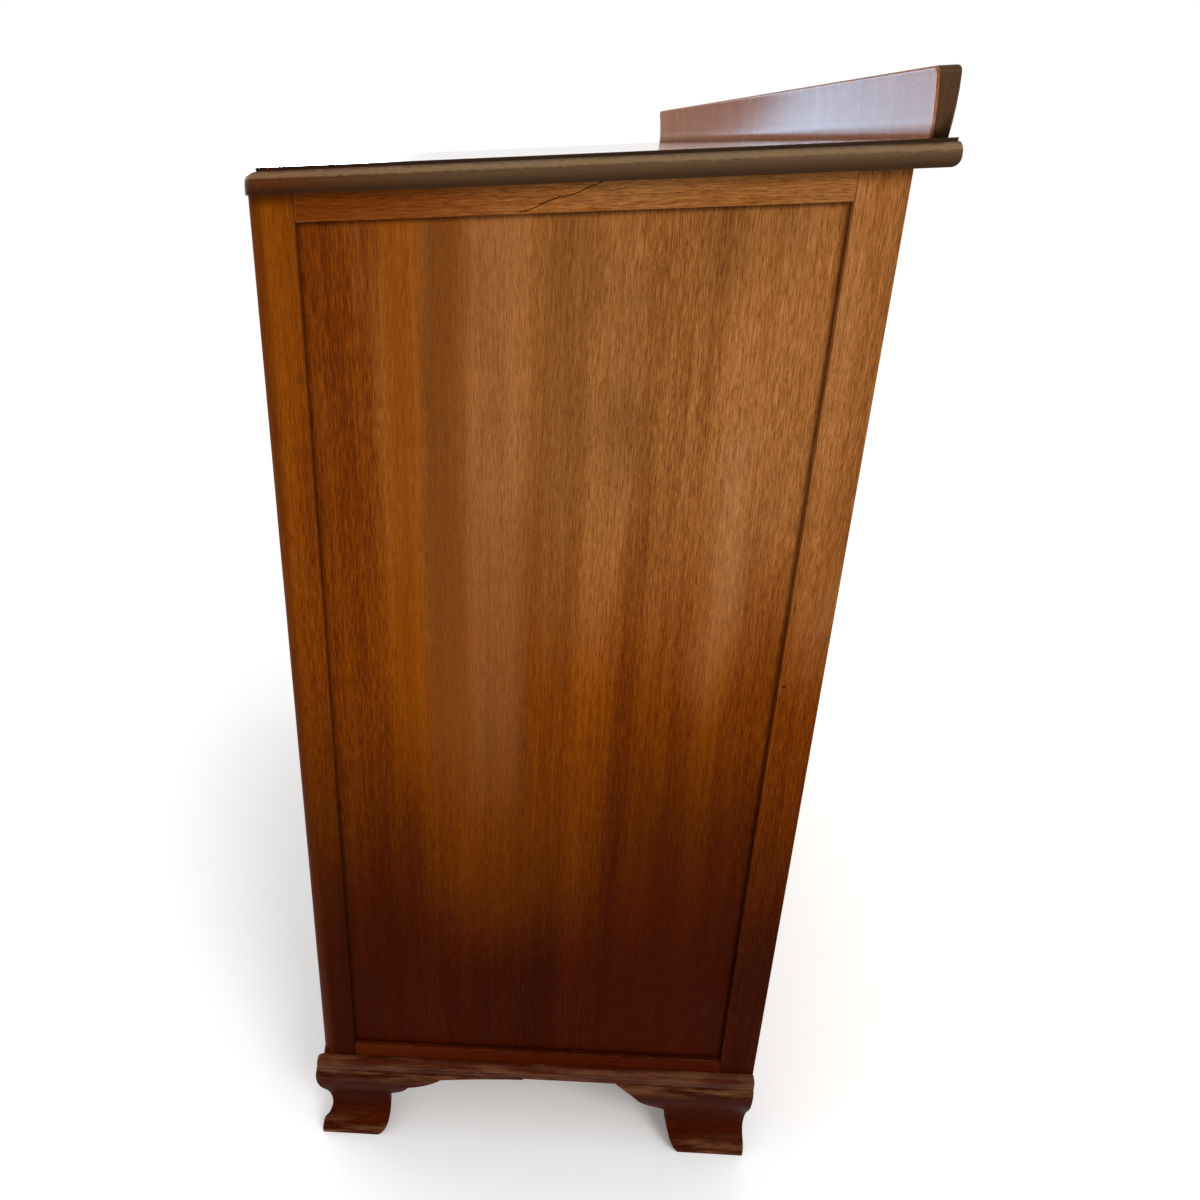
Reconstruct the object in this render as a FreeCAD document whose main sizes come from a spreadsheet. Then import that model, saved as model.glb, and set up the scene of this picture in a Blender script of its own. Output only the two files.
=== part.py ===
import FreeCAD, Part
import os
import Sketcher
from FreeCAD import Placement, Rotation, Vector

# A mahogany chiffonier: a low cupboard with one long frieze drawer over a pair of panelled doors, a moulded
# top with a raised back, framed sides, and ogee bracket feet under a base moulding. Millimetres. The front
# faces -Y, +X is on the right of someone who stands before the doors, and Z is up from the floor. The origin
# is at floor level under the middle of the whole piece, from the latch knob to the back edge of the top.

# ---------------------------------------------------------------------------------------------------------
# Driving sizes. Every alias is used by at least one formula below.
# ---------------------------------------------------------------------------------------------------------

SIZES = [
    ("carcass_width", 860, "over the outer faces of the side frames"),
    ("carcass_depth", 462, "front face of the stiles to the back boards"),
    ("carcass_height", 915.5, "top of the feet to the underside of the top"),
    ("side_thickness", 22, "side frames"),
    ("stile_width", 35.5, "side stiles, seen from the side"),
    ("top_rail_height", 20.1, "side, front and back top rails"),
    ("bottom_rail_height", 33, "side and front bottom rails"),
    ("arris_radius", 12, "rounded outer corner of the front stiles, above the base"),
    ("panel_thickness", 8, "side panels, their grooves and the side rails' tenons"),
    ("panel_recess", 4.5, "side panel behind the face of its frame"),
    ("panel_groove", 8, "depth of the grooves that hold a side panel"),
    ("panel_slack", 1, "room left for a panel to swell, each side"),
    ("tenon_length", 20, "side rails into the side stiles"),
    ("tenon_shoulder", 6, "wood left beyond a tenon at the end of a stile"),
    ("front_tenon_length", 12, "front rails into the front stiles"),
    ("front_tenon_setback", 4, "front face to the front rails' tenons"),
    ("front_tenon_thickness", 9, "front and back rails' tenons"),
    ("back_tenon_length", 8, "back top rail into the rear stiles"),
    ("top_thickness", 18.3, "top board"),
    ("top_side_overhang", 9, "top board past the side frames"),
    ("top_back_overhang", 25, "top board past the back of the carcass"),
    ("top_corner_radius", 12, "front corners of the top board, in plan"),
    ("thumbnail_radius", 8.5, "moulded edge of the top board"),
    ("top_step", 2.3, "small square step above the moulded edge"),
    ("top_step_corner", 3, "front corners of that step, in plan"),
    ("top_back_round", 6, "rounded back edge of the top board"),
    ("splash_height", 44.2, "raised back above the top board"),
    ("splash_setback", 7, "foot of the raised back, behind the carcass"),
    ("splash_foot_thickness", 12, "raised back where it meets the top board"),
    ("splash_head_thickness", 16, "raised back at its upper edge"),
    ("splash_lean", 3.5, "how far its face leans forwards"),
    ("splash_hollow", 210, "radius of the slight hollow of its face, and of its back"),
    ("splash_round", 2, "rounded upper edges of the raised back"),
    ("splash_end_round", 5, "rounded end corners of the raised back"),
    ("splash_screw_spacing", 190, "screws that hold the raised back"),
    ("splash_screw_radius", 2, "shank"),
    ("splash_screw_length", 36, "whole screw"),
    ("splash_screw_head_radius", 4.2, "countersunk head"),
    ("splash_screw_head_height", 3, "countersunk head"),
    ("back_board_thickness", 12, "vertical boards of the back"),
    ("back_rebate", 8, "back boards into the rear stiles"),
    ("back_chamfer", 2, "arrises of the back boards"),
    ("front_top_rail_depth", 45, "front to back"),
    ("front_bottom_rail_depth", 30, "front to back"),
    ("drawer_rail_depth", 60, "rail between the drawer and the doors, front to back"),
    ("drawer_rail_thickness", 20, "that rail, and the drawer runners"),
    ("drawer_opening_height", 125.4, "between that rail and the front top rail"),
    ("floor_thickness", 15, "cupboard floor"),
    ("floor_setback", 23, "front edge of the floor behind the front face"),
    ("ledge_gap", 0.5, "floor, runners and guides short of the side panels"),
    ("dust_board_thickness", 8, "board under the drawer"),
    ("dust_board_groove", 6, "dust board into the drawer rail and runners"),
    ("runner_width", 24, "drawer runner inside the frame"),
    ("guide_height", 15, "strip that guides the drawer"),
    ("kicker_width", 22, "strip that stops the open drawer from tipping"),
    ("stop_height", 6, "drawer stops"),
    ("stop_depth", 14, "drawer stops, front to back"),
    ("stop_width", 36, "drawer stops, along the rail"),
    ("stop_offset", 250, "drawer stops from the middle"),
    ("shelf_thickness", 16, "both shelves"),
    ("shelf_setback", 43, "front edge of the shelves behind the front face"),
    ("shelf_play", 0.5, "shelves short of the sides and back"),
    ("lower_shelf_height", 383, "underside of the lower shelf above the floor"),
    ("upper_shelf_height", 617, "underside of the upper shelf above the floor"),
    ("bearer_size", 18, "square battens under the shelves"),
    ("bearer_setback", 30, "battens behind the front face"),
    ("drawer_side_gap", 1, "drawer to its opening, at each side, above and below"),
    ("drawer_running_gap", 0.3, "drawer sides above their runners, and its front before the stops"),
    ("drawer_front_thickness", 20, "drawer front"),
    ("drawer_length", 400, "drawer, front to back"),
    ("drawer_side_thickness", 12, "drawer sides"),
    ("drawer_side_height", 112, "drawer sides"),
    ("drawer_back_thickness", 9, "drawer back"),
    ("drawer_back_drop", 6, "drawer back below its sides"),
    ("drawer_bottom_thickness", 6, "drawer bottom"),
    ("drawer_bottom_rise", 12, "underside of the bottom above the drawer's lower edge"),
    ("drawer_groove", 5, "bottom into the drawer sides and front"),
    ("dovetail_lap", 6, "wood left in front of the dovetails"),
    ("dovetail_share", 0.3, "half width of a dovetail at its root, as a share of the spacing"),
    ("dovetail_slope", 7, "a dovetail widens by one in this many"),
    ("bead_thickness", 3, "cock bead round the drawer front"),
    ("bead_nose", 1.6, "rounded front edge of the cock bead"),
    ("door_gap", 1.5, "doors to the rails above and below, and between the doors"),
    ("hinge_gap", 2, "door to its front stile"),
    ("door_thickness", 22, "door frames"),
    ("door_stile_width", 52, "door stiles"),
    ("door_top_rail_height", 55, "doors"),
    ("door_bottom_rail_height", 65, "doors"),
    ("door_tenon_length", 30, "door rails into the door stiles"),
    ("door_tenon_shoulder", 10, "wood left beyond those tenons"),
    ("door_panel_setback", 8, "door face to the tongue of its panel"),
    ("door_tongue_thickness", 7, "panel edge, its groove and the rails' tenons"),
    ("door_groove", 9, "depth of the grooves that hold a door panel"),
    ("door_panel_margin", 12, "flat border of the panel inside the frame"),
    ("door_bevel_width", 26, "sloping border of the raised field"),
    ("door_bevel_rise", 4.5, "how far that border rises"),
    ("door_field_step", 1.2, "square step round the raised field"),
    ("door_moulding_width", 8, "planted moulding inside the door frame"),
    ("door_moulding_height", 7, "that moulding, off the panel"),
    ("door_moulding_round", 5.5, "its rounded inner arris"),
    ("hinge_length", 64, "butt hinges"),
    ("hinge_leaf_thickness", 1.5, "leaves, let in flush"),
    ("hinge_leaf_reach", 16, "back edge of the leaves behind the front face"),
    ("hinge_knuckle_radius", 2.3, "barrel of the hinge"),
    ("hinge_knuckle_gap", 0.2, "between one knuckle and the next"),
    ("hinge_leaf_clearance", 0.3, "leaf to the other leaf's knuckles"),
    ("hinge_pin_forward", 0.5, "pin before the front face"),
    ("hinge_pin_radius", 1.2, "pin"),
    ("hinge_pin_play", 0.05, "pin to its bore, on the radius"),
    ("hinge_tip_radius", 1.8, "turned tips of the pin"),
    ("hinge_tip_height", 2, "turned tips of the pin"),
    ("hinge_end_distance", 90, "end of the door to its hinge"),
    ("latch_height", 540, "latch knob above the floor"),
    ("spindle_radius", 4, "latch spindle"),
    ("spindle_play", 0.05, "spindle to its bore, on the radius"),
    ("rose_radius", 14, "plate behind the latch knob"),
    ("rose_height", 2.5, "plate behind the latch knob"),
    ("rose_hole_play", 0.3, "spindle to the plate, on the radius"),
    ("rose_rim", 1, "square rim of the plate, before its rounded face"),
    ("knob_gap", 0.3, "knob before its plate, and tongue behind the door"),
    ("knob_projection", 27, "latch knob before the front face"),
    ("knob_radius", 12.8, "latch knob"),
    ("knob_neck_radius", 4.8, "waist of the latch knob"),
    ("knob_collar_radius", 8, "collar of the latch knob"),
    ("knob_collar_height", 1.5, "collar of the latch knob"),
    ("tongue_thickness", 4, "latch tongue"),
    ("tongue_width", 13, "latch tongue"),
    ("tongue_hub_radius", 9, "latch tongue round its spindle"),
    ("tongue_length", 44, "latch tongue from its spindle"),
    ("bolt_radius", 4, "door bolt"),
    ("bolt_play", 0.05, "bolt to its guides, on the radius"),
    ("bolt_length", 76, "door bolt"),
    ("bolt_travel", 12, "door bolt"),
    ("bolt_drop", 2, "head of the drawn bolt below the top of the door"),
    ("bolt_plate_width", 24, "bolt plate"),
    ("bolt_plate_thickness", 2, "bolt plate"),
    ("bolt_plate_length", 66, "bolt plate"),
    ("bolt_guide_width", 14, "guides of the bolt"),
    ("bolt_guide_height", 10, "guides of the bolt"),
    ("bolt_guide_depth", 10, "guides of the bolt, off their plate"),
    ("bolt_grip_radius", 3, "grip of the bolt"),
    ("bolt_grip_length", 12, "grip of the bolt, from its middle"),
    ("bolt_rest_gap", 0.3, "grip above the lower guide"),
    ("bolt_hole_radius", 4.6, "hole for the bolt in the drawer rail"),
    ("bolt_hole_depth", 13, "hole for the bolt in the drawer rail"),
    ("handle_offset", 205, "handles from the middle of the drawer"),
    ("handle_rise", 13, "bail pivot above the middle of the drawer opening"),
    ("post_spacing", 76, "between the two posts of a handle"),
    ("post_projection", 13, "bail pivot before the drawer front"),
    ("post_ball_radius", 5.5, "ball of a post"),
    ("post_neck_radius", 3.4, "neck of a post"),
    ("post_rose_radius", 10, "round plate of a post"),
    ("post_rose_height", 3, "round plate of a post"),
    ("post_rose_rim", 1.2, "square rim of that plate"),
    ("post_shank_radius", 2.5, "shank through the drawer front"),
    ("post_nut_radius", 5.5, "nut on the shank, over its corners"),
    ("post_nut_height", 4, "nut on the shank"),
    ("post_shank_end", 1.5, "shank past its nut"),
    ("bail_radius", 2.3, "bail"),
    ("bail_play", 0.08, "bail pivot to its bore, on the radius"),
    ("bail_bend", 4.5, "bend where the pivot turns down"),
    ("bail_shoulder", 5, "post centre to that bend"),
    ("bail_pivot_inside", 6.5, "pivot end inside the post centre"),
    ("bail_straight", 5, "straight part below the bend"),
    ("bail_swan_in", 9, "how far the swan neck comes in"),
    ("bail_swan_drop", 14, "height of the swan neck"),
    ("bail_corner", 8, "lower corners of the bail"),
    ("moulding_height", 15.5, "base moulding"),
    ("moulding_projection", 7.6, "base moulding"),
    ("moulding_fascia", 5.4, "flat lower part of the base moulding"),
    ("moulding_quirk_depth", 0.9, "groove above the fascia"),
    ("moulding_quirk_height", 1.2, "groove above the fascia"),
    ("moulding_lip", 2.2, "upright edge above the groove"),
    ("moulding_round", 8.5, "rounded, sloping top of the base moulding"),
    ("moulding_fillet", 0.5, "small flat at the top of the base moulding"),
    ("front_bead_height", 6, "bead along the front of the base"),
    ("front_bead_edge", 0.6, "square edge of that bead"),
    ("front_bead_swell", 1, "rounded face of that bead"),
    ("foot_height", 107, "bracket feet"),
    ("foot_stock_inset", 16, "back of the foot stock behind the carcass face"),
    ("foot_head", 8.2, "foot past the carcass face, at its top"),
    ("foot_bulge", 9.7, "foot past the carcass face, at its fullest"),
    ("foot_bulge_height", 96, "height of the fullest part"),
    ("foot_neck", 4.3, "foot behind the carcass face, at its neck"),
    ("foot_neck_height", 38, "height of the neck"),
    ("foot_toe", 7.7, "foot past the carcass face, at its toe"),
    ("foot_toe_height", 5, "height of the toe's fullest part"),
    ("foot_sole", 7.4, "foot past the carcass face, on the floor"),
    ("front_foot_width", 56, "front foot along the floor, from the carcass corner"),
    ("front_foot_ankle", 71.5, "front foot where its back edge stands upright"),
    ("rear_foot_width", 70, "rear foot along the floor, from the carcass back"),
    ("rear_foot_ankle", 82.5, "rear foot where its back edge stands upright"),
    ("ankle_height", 36, "where the back edge of a foot turns upright"),
    ("cusp_height", 61.5, "first cusp of the front brackets"),
    ("lobe_reach", 21.5, "first lobe of a front bracket, along the base"),
    ("lobe_rise", 22.8, "first lobe of a front bracket"),
    ("lobe_radius", 60, "first lobe of a front bracket"),
    ("second_lobe_reach", 36, "second lobe of a front bracket, along the base"),
    ("second_lobe_rise", 16.2, "second lobe of a front bracket"),
    ("second_lobe_radius", 90, "second lobe of a front bracket"),
    ("taper_reach", 90, "tapering end of a front bracket, along the base"),
    ("taper_end", 0.5, "thickness of a bracket's tip"),
    ("taper_radius", 1000, "slight hollow of the taper"),
    ("rear_cusp_height", 50, "where the back edge of a rear foot ends"),
    ("rear_cusp_reach", 5, "rounded cusp of a rear bracket, along the base"),
    ("rear_cusp_rise", 6.8, "rounded cusp of a rear bracket"),
    ("rear_cusp_radius", 6, "rounded cusp of a rear bracket"),
    ("rear_lobe_reach", 30, "lobe of a rear bracket, along the base"),
    ("rear_lobe_rise", 23, "lobe of a rear bracket"),
    ("rear_lobe_radius", 120, "lobe of a rear bracket"),
    ("rear_hollow_reach", 26, "hollow end of a rear bracket, along the base"),
    ("rear_hollow_radius", 100, "hollow end of a rear bracket"),
    ("front_bracket_recess", 5, "plain front brackets behind the front face"),
    ("rear_bracket_thickness", 15, "plain bracket across the back"),
    ("foot_block_size", 28, "square glue blocks inside the feet"),
    ("foot_block_clearance", 3, "glue blocks above the floor"),
]

BACK_BOARD_COUNT = 5
SPLASH_SCREWS_EACH_SIDE = 2
DOVETAIL_COUNT = 4
KNUCKLE_COUNT = 5
HALF_TURN = 180
QUARTER_TURN = 90

doc = FreeCAD.newDocument("chiffonier")
sheet = doc.addObject("Spreadsheet::Sheet", "Sizes")
for row, (alias, number, meaning) in enumerate(SIZES, start=1):
    sheet.set(f"A{row}", alias)
    sheet.set(f"B{row}", str(number))
    sheet.set(f"C{row}", meaning)
    sheet.setAlias(f"B{row}", alias)
doc.recompute()


# ---------------------------------------------------------------------------------------------------------
# Lengths that keep their sheet formula, and the operations that the joiner's pieces are made with.
# ---------------------------------------------------------------------------------------------------------

class Length:
    """A number together with the sheet formula that gives it."""

    def __init__(self, number, formula=None):
        self.number = float(number)
        self.formula = formula or repr(float(number))

    def __add__(self, other):
        other = as_length(other)
        return Length(self.number + other.number, f"({self.formula} + {other.formula})")

    def __sub__(self, other):
        other = as_length(other)
        return Length(self.number - other.number, f"({self.formula} - {other.formula})")

    def __mul__(self, other):
        other = as_length(other)
        return Length(self.number * other.number, f"({self.formula} * {other.formula})")

    def __truediv__(self, other):
        other = as_length(other)
        return Length(self.number / other.number, f"({self.formula} / {other.formula})")

    def __neg__(self):
        return self * -1

    def __radd__(self, other):
        return as_length(other) + self

    def __rsub__(self, other):
        return as_length(other) - self

    def __rmul__(self, other):
        return as_length(other) * self


def as_length(value):
    return value if isinstance(value, Length) else Length(value)


class Sizes:
    """The sheet's cells by name, each as a Length."""

    def __getattr__(self, alias):
        return Length(sheet.get(alias), f"Sizes.{alias}")


size = Sizes()
pieces = {}


def bind(thing, setting, value):
    """Sets one size of an object to its sheet formula."""
    thing.setExpression(setting, as_length(value).formula)


def place(thing, at):
    for axis, distance in zip("xyz", at):
        bind(thing, f"Placement.Base.{axis}", distance)
    return thing


def block(low, high):
    """A squared block between two opposite corners."""
    piece = doc.addObject("Part::Box", "Block")
    for setting, start, end in zip(("Length", "Width", "Height"), low, high):
        bind(piece, setting, as_length(end) - start)
    return place(piece, low)


TOWARDS = {
    "x": Rotation(Vector(0, 1, 0), QUARTER_TURN),
    "y": Rotation(Vector(1, 0, 0), -QUARTER_TURN),
    "z": Rotation(),
}


def rod(radius, length, at, towards="z"):
    """A round rod that starts at a point and runs along +X, +Y or +Z."""
    piece = doc.addObject("Part::Cylinder", "Rod")
    bind(piece, "Radius", radius)
    bind(piece, "Height", length)
    piece.Placement = Placement(Vector(), TOWARDS[towards])
    return place(piece, at)


def fuse(*parts):
    piece = doc.addObject("Part::MultiFuse", "Joined")
    piece.Shapes = list(parts)
    return piece


def common(*parts):
    piece = doc.addObject("Part::MultiCommon", "Shared")
    piece.Shapes = list(parts)
    return piece


def cut(base, *tools):
    piece = doc.addObject("Part::Cut", "Worked")
    piece.Base = base
    piece.Tool = tools[0] if len(tools) == 1 else fuse(*tools)
    return piece


def group(*parts):
    """Separate solids that share one name."""
    piece = doc.addObject("Part::Compound", "Group")
    piece.Links = list(parts)
    return piece


def mirror(source, normal=Vector(1, 0, 0), through=(0, 0, 0)):
    piece = doc.addObject("Part::Mirroring", "Mirrored")
    piece.Source = source
    piece.Normal = normal
    for axis, distance in zip("xyz", through):
        bind(piece, f"Base.{axis}", distance)
    return piece


def pair(source):
    """A piece and its mirror image on the other side, as two solids."""
    return group(source, mirror(source))


def signed_area(corners):
    total = 0
    for (x0, y0), (x1, y1) in zip(corners, corners[1:] + corners[:1]):
        total += (x0 * y1 - x1 * y0) / 2
    return total


def arc_through(start, end, radius, side):
    """The arc between two points that swells to the given side of the way from start to end."""
    chord = end - start
    middle = (start + end) / 2
    to_side = Vector(chord.y, -chord.x, 0).normalize() * side
    to_centre = (radius**2 - (chord.Length / 2) ** 2) ** 0.5
    return Part.Arc(start, middle + to_side * (radius - to_centre), end)


def draw(sketch, outline, closed=True):
    """Draws an outline of corners (x, y) or (x, y, radius), each placed by its own formulas.

    A radius makes the run that leaves its corner an arc, which swells outwards if positive and hollows if
    negative. On an open path, outwards is to the right of the way.
    """
    corners = [Vector(as_length(corner[0]).number, as_length(corner[1]).number, 0) for corner in outline]
    runs = len(outline) if closed else len(outline) - 1
    outwards = 1
    if closed and signed_area([(corner.x, corner.y) for corner in corners]) < 0:
        outwards = -1
    ends = []
    for index in range(runs):
        start, end = corners[index], corners[(index + 1) % len(corners)]
        radius = as_length(outline[index][2]) if len(outline[index]) > 2 else None
        if radius is None:
            run = sketch.addGeometry(Part.LineSegment(start, end))
        else:
            side = outwards if radius.number > 0 else -outwards
            run = sketch.addGeometry(arc_through(start, end, abs(radius.number), side))
        to_one, to_two = ((sketch.getPoint(run, point) - start).Length for point in (1, 2))
        first = 1 if to_one < to_two else 2
        ends.append((run, first, 3 - first))
        if radius is not None:
            limit = sketch.addConstraint(Sketcher.Constraint("Radius", run, abs(radius.number)))
            bind(sketch, f"Constraints[{limit}]", radius if radius.number > 0 else -radius)
    for index, (run, _, last) in enumerate(ends):
        if closed or index < runs - 1:
            following, first, _ = ends[(index + 1) % runs]
            sketch.addConstraint(Sketcher.Constraint("Coincident", run, last, following, first))
    for index, corner in enumerate(outline):
        run, point = (ends[index][0], ends[index][1]) if index < runs else (ends[-1][0], ends[-1][2])
        for kind, distance in zip(("DistanceX", "DistanceY"), corner):
            distance = as_length(distance)
            fixing = Sketcher.Constraint(kind, -1, 1, run, point, distance.number)
            bind(sketch, f"Constraints[{sketch.addConstraint(fixing)}]", distance)


def new_sketch(body, plane):
    sketch = body.newObject("Sketcher::SketchObject", "Sketch")
    support = [feature for feature in body.Origin.OriginFeatures if feature.Role == plane]
    sketch.AttachmentSupport = (support[0], [""])
    sketch.MapMode = "FlatFace"
    return sketch


def add_pad(body, plane, outline, length):
    """Pads an outline on a plane of a body towards +X, +Y or +Z."""
    sketch = new_sketch(body, plane)
    draw(sketch, outline)
    feature = body.newObject("PartDesign::Pad", "Pad")
    feature.Profile = sketch
    feature.Reversed = plane == "XZ_Plane"
    bind(feature, "Length", length)
    return feature


def pad(plane, outline, length, at=(0, 0, 0)):
    body = doc.addObject("PartDesign::Body", "Body")
    add_pad(body, plane, outline, length)
    return place(body, at)


def turned(outline, at):
    """A turned piece: an outline of (radius, distance forwards), spun about an axis that points to -Y."""
    body = doc.addObject("PartDesign::Body", "Body")
    sketch = new_sketch(body, "XY_Plane")
    draw(sketch, outline)
    feature = body.newObject("PartDesign::Revolution", "Revolution")
    feature.Profile = sketch
    axis = [item for item in body.Origin.OriginFeatures if item.Role == "Y_Axis"]
    feature.ReferenceAxis = (axis[0], [""])
    feature.Angle = 2 * HALF_TURN
    body.Placement = Placement(Vector(), Rotation(Vector(0, 0, 1), HALF_TURN))
    return place(body, at)


def round_edges(body, radius, chosen):
    """Rounds the edges of a body's last feature that a test picks by their two end points."""
    doc.recompute()
    feature = body.Tip
    names = []
    for index, edge in enumerate(feature.Shape.Edges, start=1):
        ends = [vertex.Point for vertex in edge.Vertexes]
        if len(ends) == 2 and chosen(*ends):
            names.append(f"Edge{index}")
    fillet = body.newObject("PartDesign::Fillet", "Fillet")
    fillet.Base = (feature, names)
    bind(fillet, "Radius", radius)


def cap_radius(rise, half_chord):
    """Radius of the arc that rises so much from its tangent over half its chord."""
    return (rise * rise + half_chord * half_chord) / (rise * 2)


def s_curve_radius(across, along):
    """Radius of the two equal arcs that join two upright tangents by a double curve."""
    return (across * across + along * along) / (across * 4)


def near(first, second):
    return abs(first - as_length(second).number) < 0.01


def sub_part(name, piece):
    """Names a finished piece, which becomes a file of its own."""
    piece.Label = name
    pieces[name] = piece
    return piece


# ---------------------------------------------------------------------------------------------------------
# Levels and planes that several pieces share.
# ---------------------------------------------------------------------------------------------------------

half_width = size.carcass_width / 2
inner_x = half_width - size.side_thickness
front_y = (size.knob_projection - size.carcass_depth - size.top_back_overhang) / 2
panel_outer_x = half_width - size.panel_recess
panel_inner_x = panel_outer_x - size.panel_thickness
ledge_x = panel_inner_x - size.ledge_gap

foot_top = size.foot_height
carcass_top = foot_top + size.carcass_height
low_rail_top = foot_top + size.bottom_rail_height
top_rail_low = carcass_top - size.top_rail_height
drawer_floor = top_rail_low - size.drawer_opening_height
door_head = drawer_floor - size.drawer_rail_thickness


def behind(distance):
    """A plane at a distance behind the front face of the carcass."""
    return front_y + distance


back_y = behind(size.carcass_depth)
rear_stile_front = behind(size.carcass_depth - size.stile_width)
boards_front = back_y - size.back_board_thickness


# ---------------------------------------------------------------------------------------------------------
# Doors: framed, with a raised panel and a planted moulding. The right door is made, the left mirrors it.
# ---------------------------------------------------------------------------------------------------------

door_meeting_x = size.door_gap / 2
door_hinge_x = inner_x - size.hinge_gap
door_low = low_rail_top + size.door_gap
door_high = door_head - size.door_gap
door_back = behind(size.door_thickness)
opening_left = door_meeting_x + size.door_stile_width
opening_right = door_hinge_x - size.door_stile_width
opening_low = door_low + size.door_bottom_rail_height
opening_high = door_high - size.door_top_rail_height
tongue_front = behind(size.door_panel_setback)
tongue_back = tongue_front + size.door_tongue_thickness

pin_x = inner_x - size.hinge_gap / 2
pin_y = behind(-size.hinge_pin_forward)
hinge_lows = [
    door_low + size.hinge_end_distance,
    door_high - size.hinge_end_distance - size.hinge_length,
]
knuckle_pitch = size.hinge_length / KNUCKLE_COUNT


def hinge_leaf(near_x, far_x, low, own_knuckles):
    """One leaf of a butt hinge, with every other knuckle of the barrel."""
    clear_y = pin_y + size.hinge_knuckle_radius + size.hinge_leaf_clearance
    parts = [block((near_x, clear_y, low), (far_x, behind(size.hinge_leaf_reach), low + size.hinge_length))]
    for index in own_knuckles:
        start = low + knuckle_pitch * index + size.hinge_knuckle_gap / 2
        end = start + knuckle_pitch - size.hinge_knuckle_gap
        parts.append(block((near_x, pin_y, start), (far_x, clear_y + size.hinge_leaf_thickness, end)))
        parts.append(rod(size.hinge_knuckle_radius, end - start, (pin_x, pin_y, start)))
    bore = rod(size.hinge_pin_radius + size.hinge_pin_play, size.hinge_length, (pin_x, pin_y, low))
    return cut(fuse(*parts), bore)


def hinge_recess(near_x, far_x, low):
    """Where a leaf is let in, with room before it for the tips of the pin."""
    high = low + size.hinge_length
    room = size.hinge_tip_height + size.hinge_leaf_clearance
    tips_back = pin_y + size.hinge_tip_radius + size.hinge_leaf_clearance
    return fuse(
        block((near_x, front_y, low), (far_x, behind(size.hinge_leaf_reach), high)),
        block((near_x, front_y, low - room), (far_x, tips_back, high + room)),
    )


def make_hinges():
    frame_far_x = inner_x + size.hinge_leaf_thickness
    door_far_x = door_hinge_x - size.hinge_leaf_thickness
    frame_leaves = []
    door_leaves = []
    pins = []
    for low in hinge_lows:
        frame_leaves.append(hinge_leaf(inner_x, frame_far_x, low, range(0, KNUCKLE_COUNT, 2)))
        door_leaves.append(hinge_leaf(door_far_x, door_hinge_x, low, range(1, KNUCKLE_COUNT, 2)))
        high = low + size.hinge_length
        pins.append(fuse(
            rod(size.hinge_pin_radius, size.hinge_length, (pin_x, pin_y, low)),
            rod(size.hinge_tip_radius, size.hinge_tip_height, (pin_x, pin_y, low - size.hinge_tip_height)),
            rod(size.hinge_tip_radius, size.hinge_tip_height, (pin_x, pin_y, high)),
        ))
    sub_part("hinge_frame_leaves", group(*frame_leaves, *[mirror(leaf) for leaf in frame_leaves]))
    sub_part("hinge_pins", group(*pins, *[mirror(pin) for pin in pins]))
    right_door_leaves = sub_part("right_door_hinge_leaves", group(*door_leaves))
    sub_part("left_door_hinge_leaves", mirror(right_door_leaves))


def make_door_frame():
    groove = block(
        (opening_left - size.door_groove, tongue_front, opening_low - size.door_groove),
        (opening_right + size.door_groove, tongue_back, opening_high + size.door_groove),
    )
    tenon_left = opening_left - size.door_tenon_length
    tenon_right = opening_right + size.door_tenon_length
    rails = []
    for low, high, tenon_low, tenon_high in (
        (door_low, opening_low, door_low + size.door_tenon_shoulder, opening_low),
        (opening_high, door_high, opening_high, door_high - size.door_tenon_shoulder),
    ):
        body = block((opening_left, front_y, low), (opening_right, door_back, high))
        tenons = block((tenon_left, tongue_front, tenon_low), (tenon_right, tongue_back, tenon_high))
        rails.append(cut(fuse(body, tenons), groove))
    hinge_blank = block((opening_right, front_y, door_low), (door_hinge_x, door_back, door_high))
    recesses = []
    for low in hinge_lows:
        recesses.append(hinge_recess(door_hinge_x - size.hinge_leaf_thickness, door_hinge_x, low))
    hinge_stile = sub_part("right_door_hinge_stile", cut(hinge_blank, groove, *rails, *recesses))
    sub_part("left_door_hinge_stile", mirror(hinge_stile))
    meeting_blank = block((door_meeting_x, front_y, door_low), (opening_left, door_back, door_high))
    meeting_stile = cut(meeting_blank, groove, *rails)
    bore_radius = size.spindle_radius + size.spindle_play
    spindle_bore = rod(bore_radius, size.door_thickness, (latch_x, front_y, size.latch_height), "y")
    sub_part("right_door_meeting_stile", cut(meeting_stile, spindle_bore))
    sub_part("left_door_meeting_stile", mirror(meeting_stile))
    right_rails = sub_part("right_door_rails", group(*rails))
    sub_part("left_door_rails", mirror(right_rails))


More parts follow.
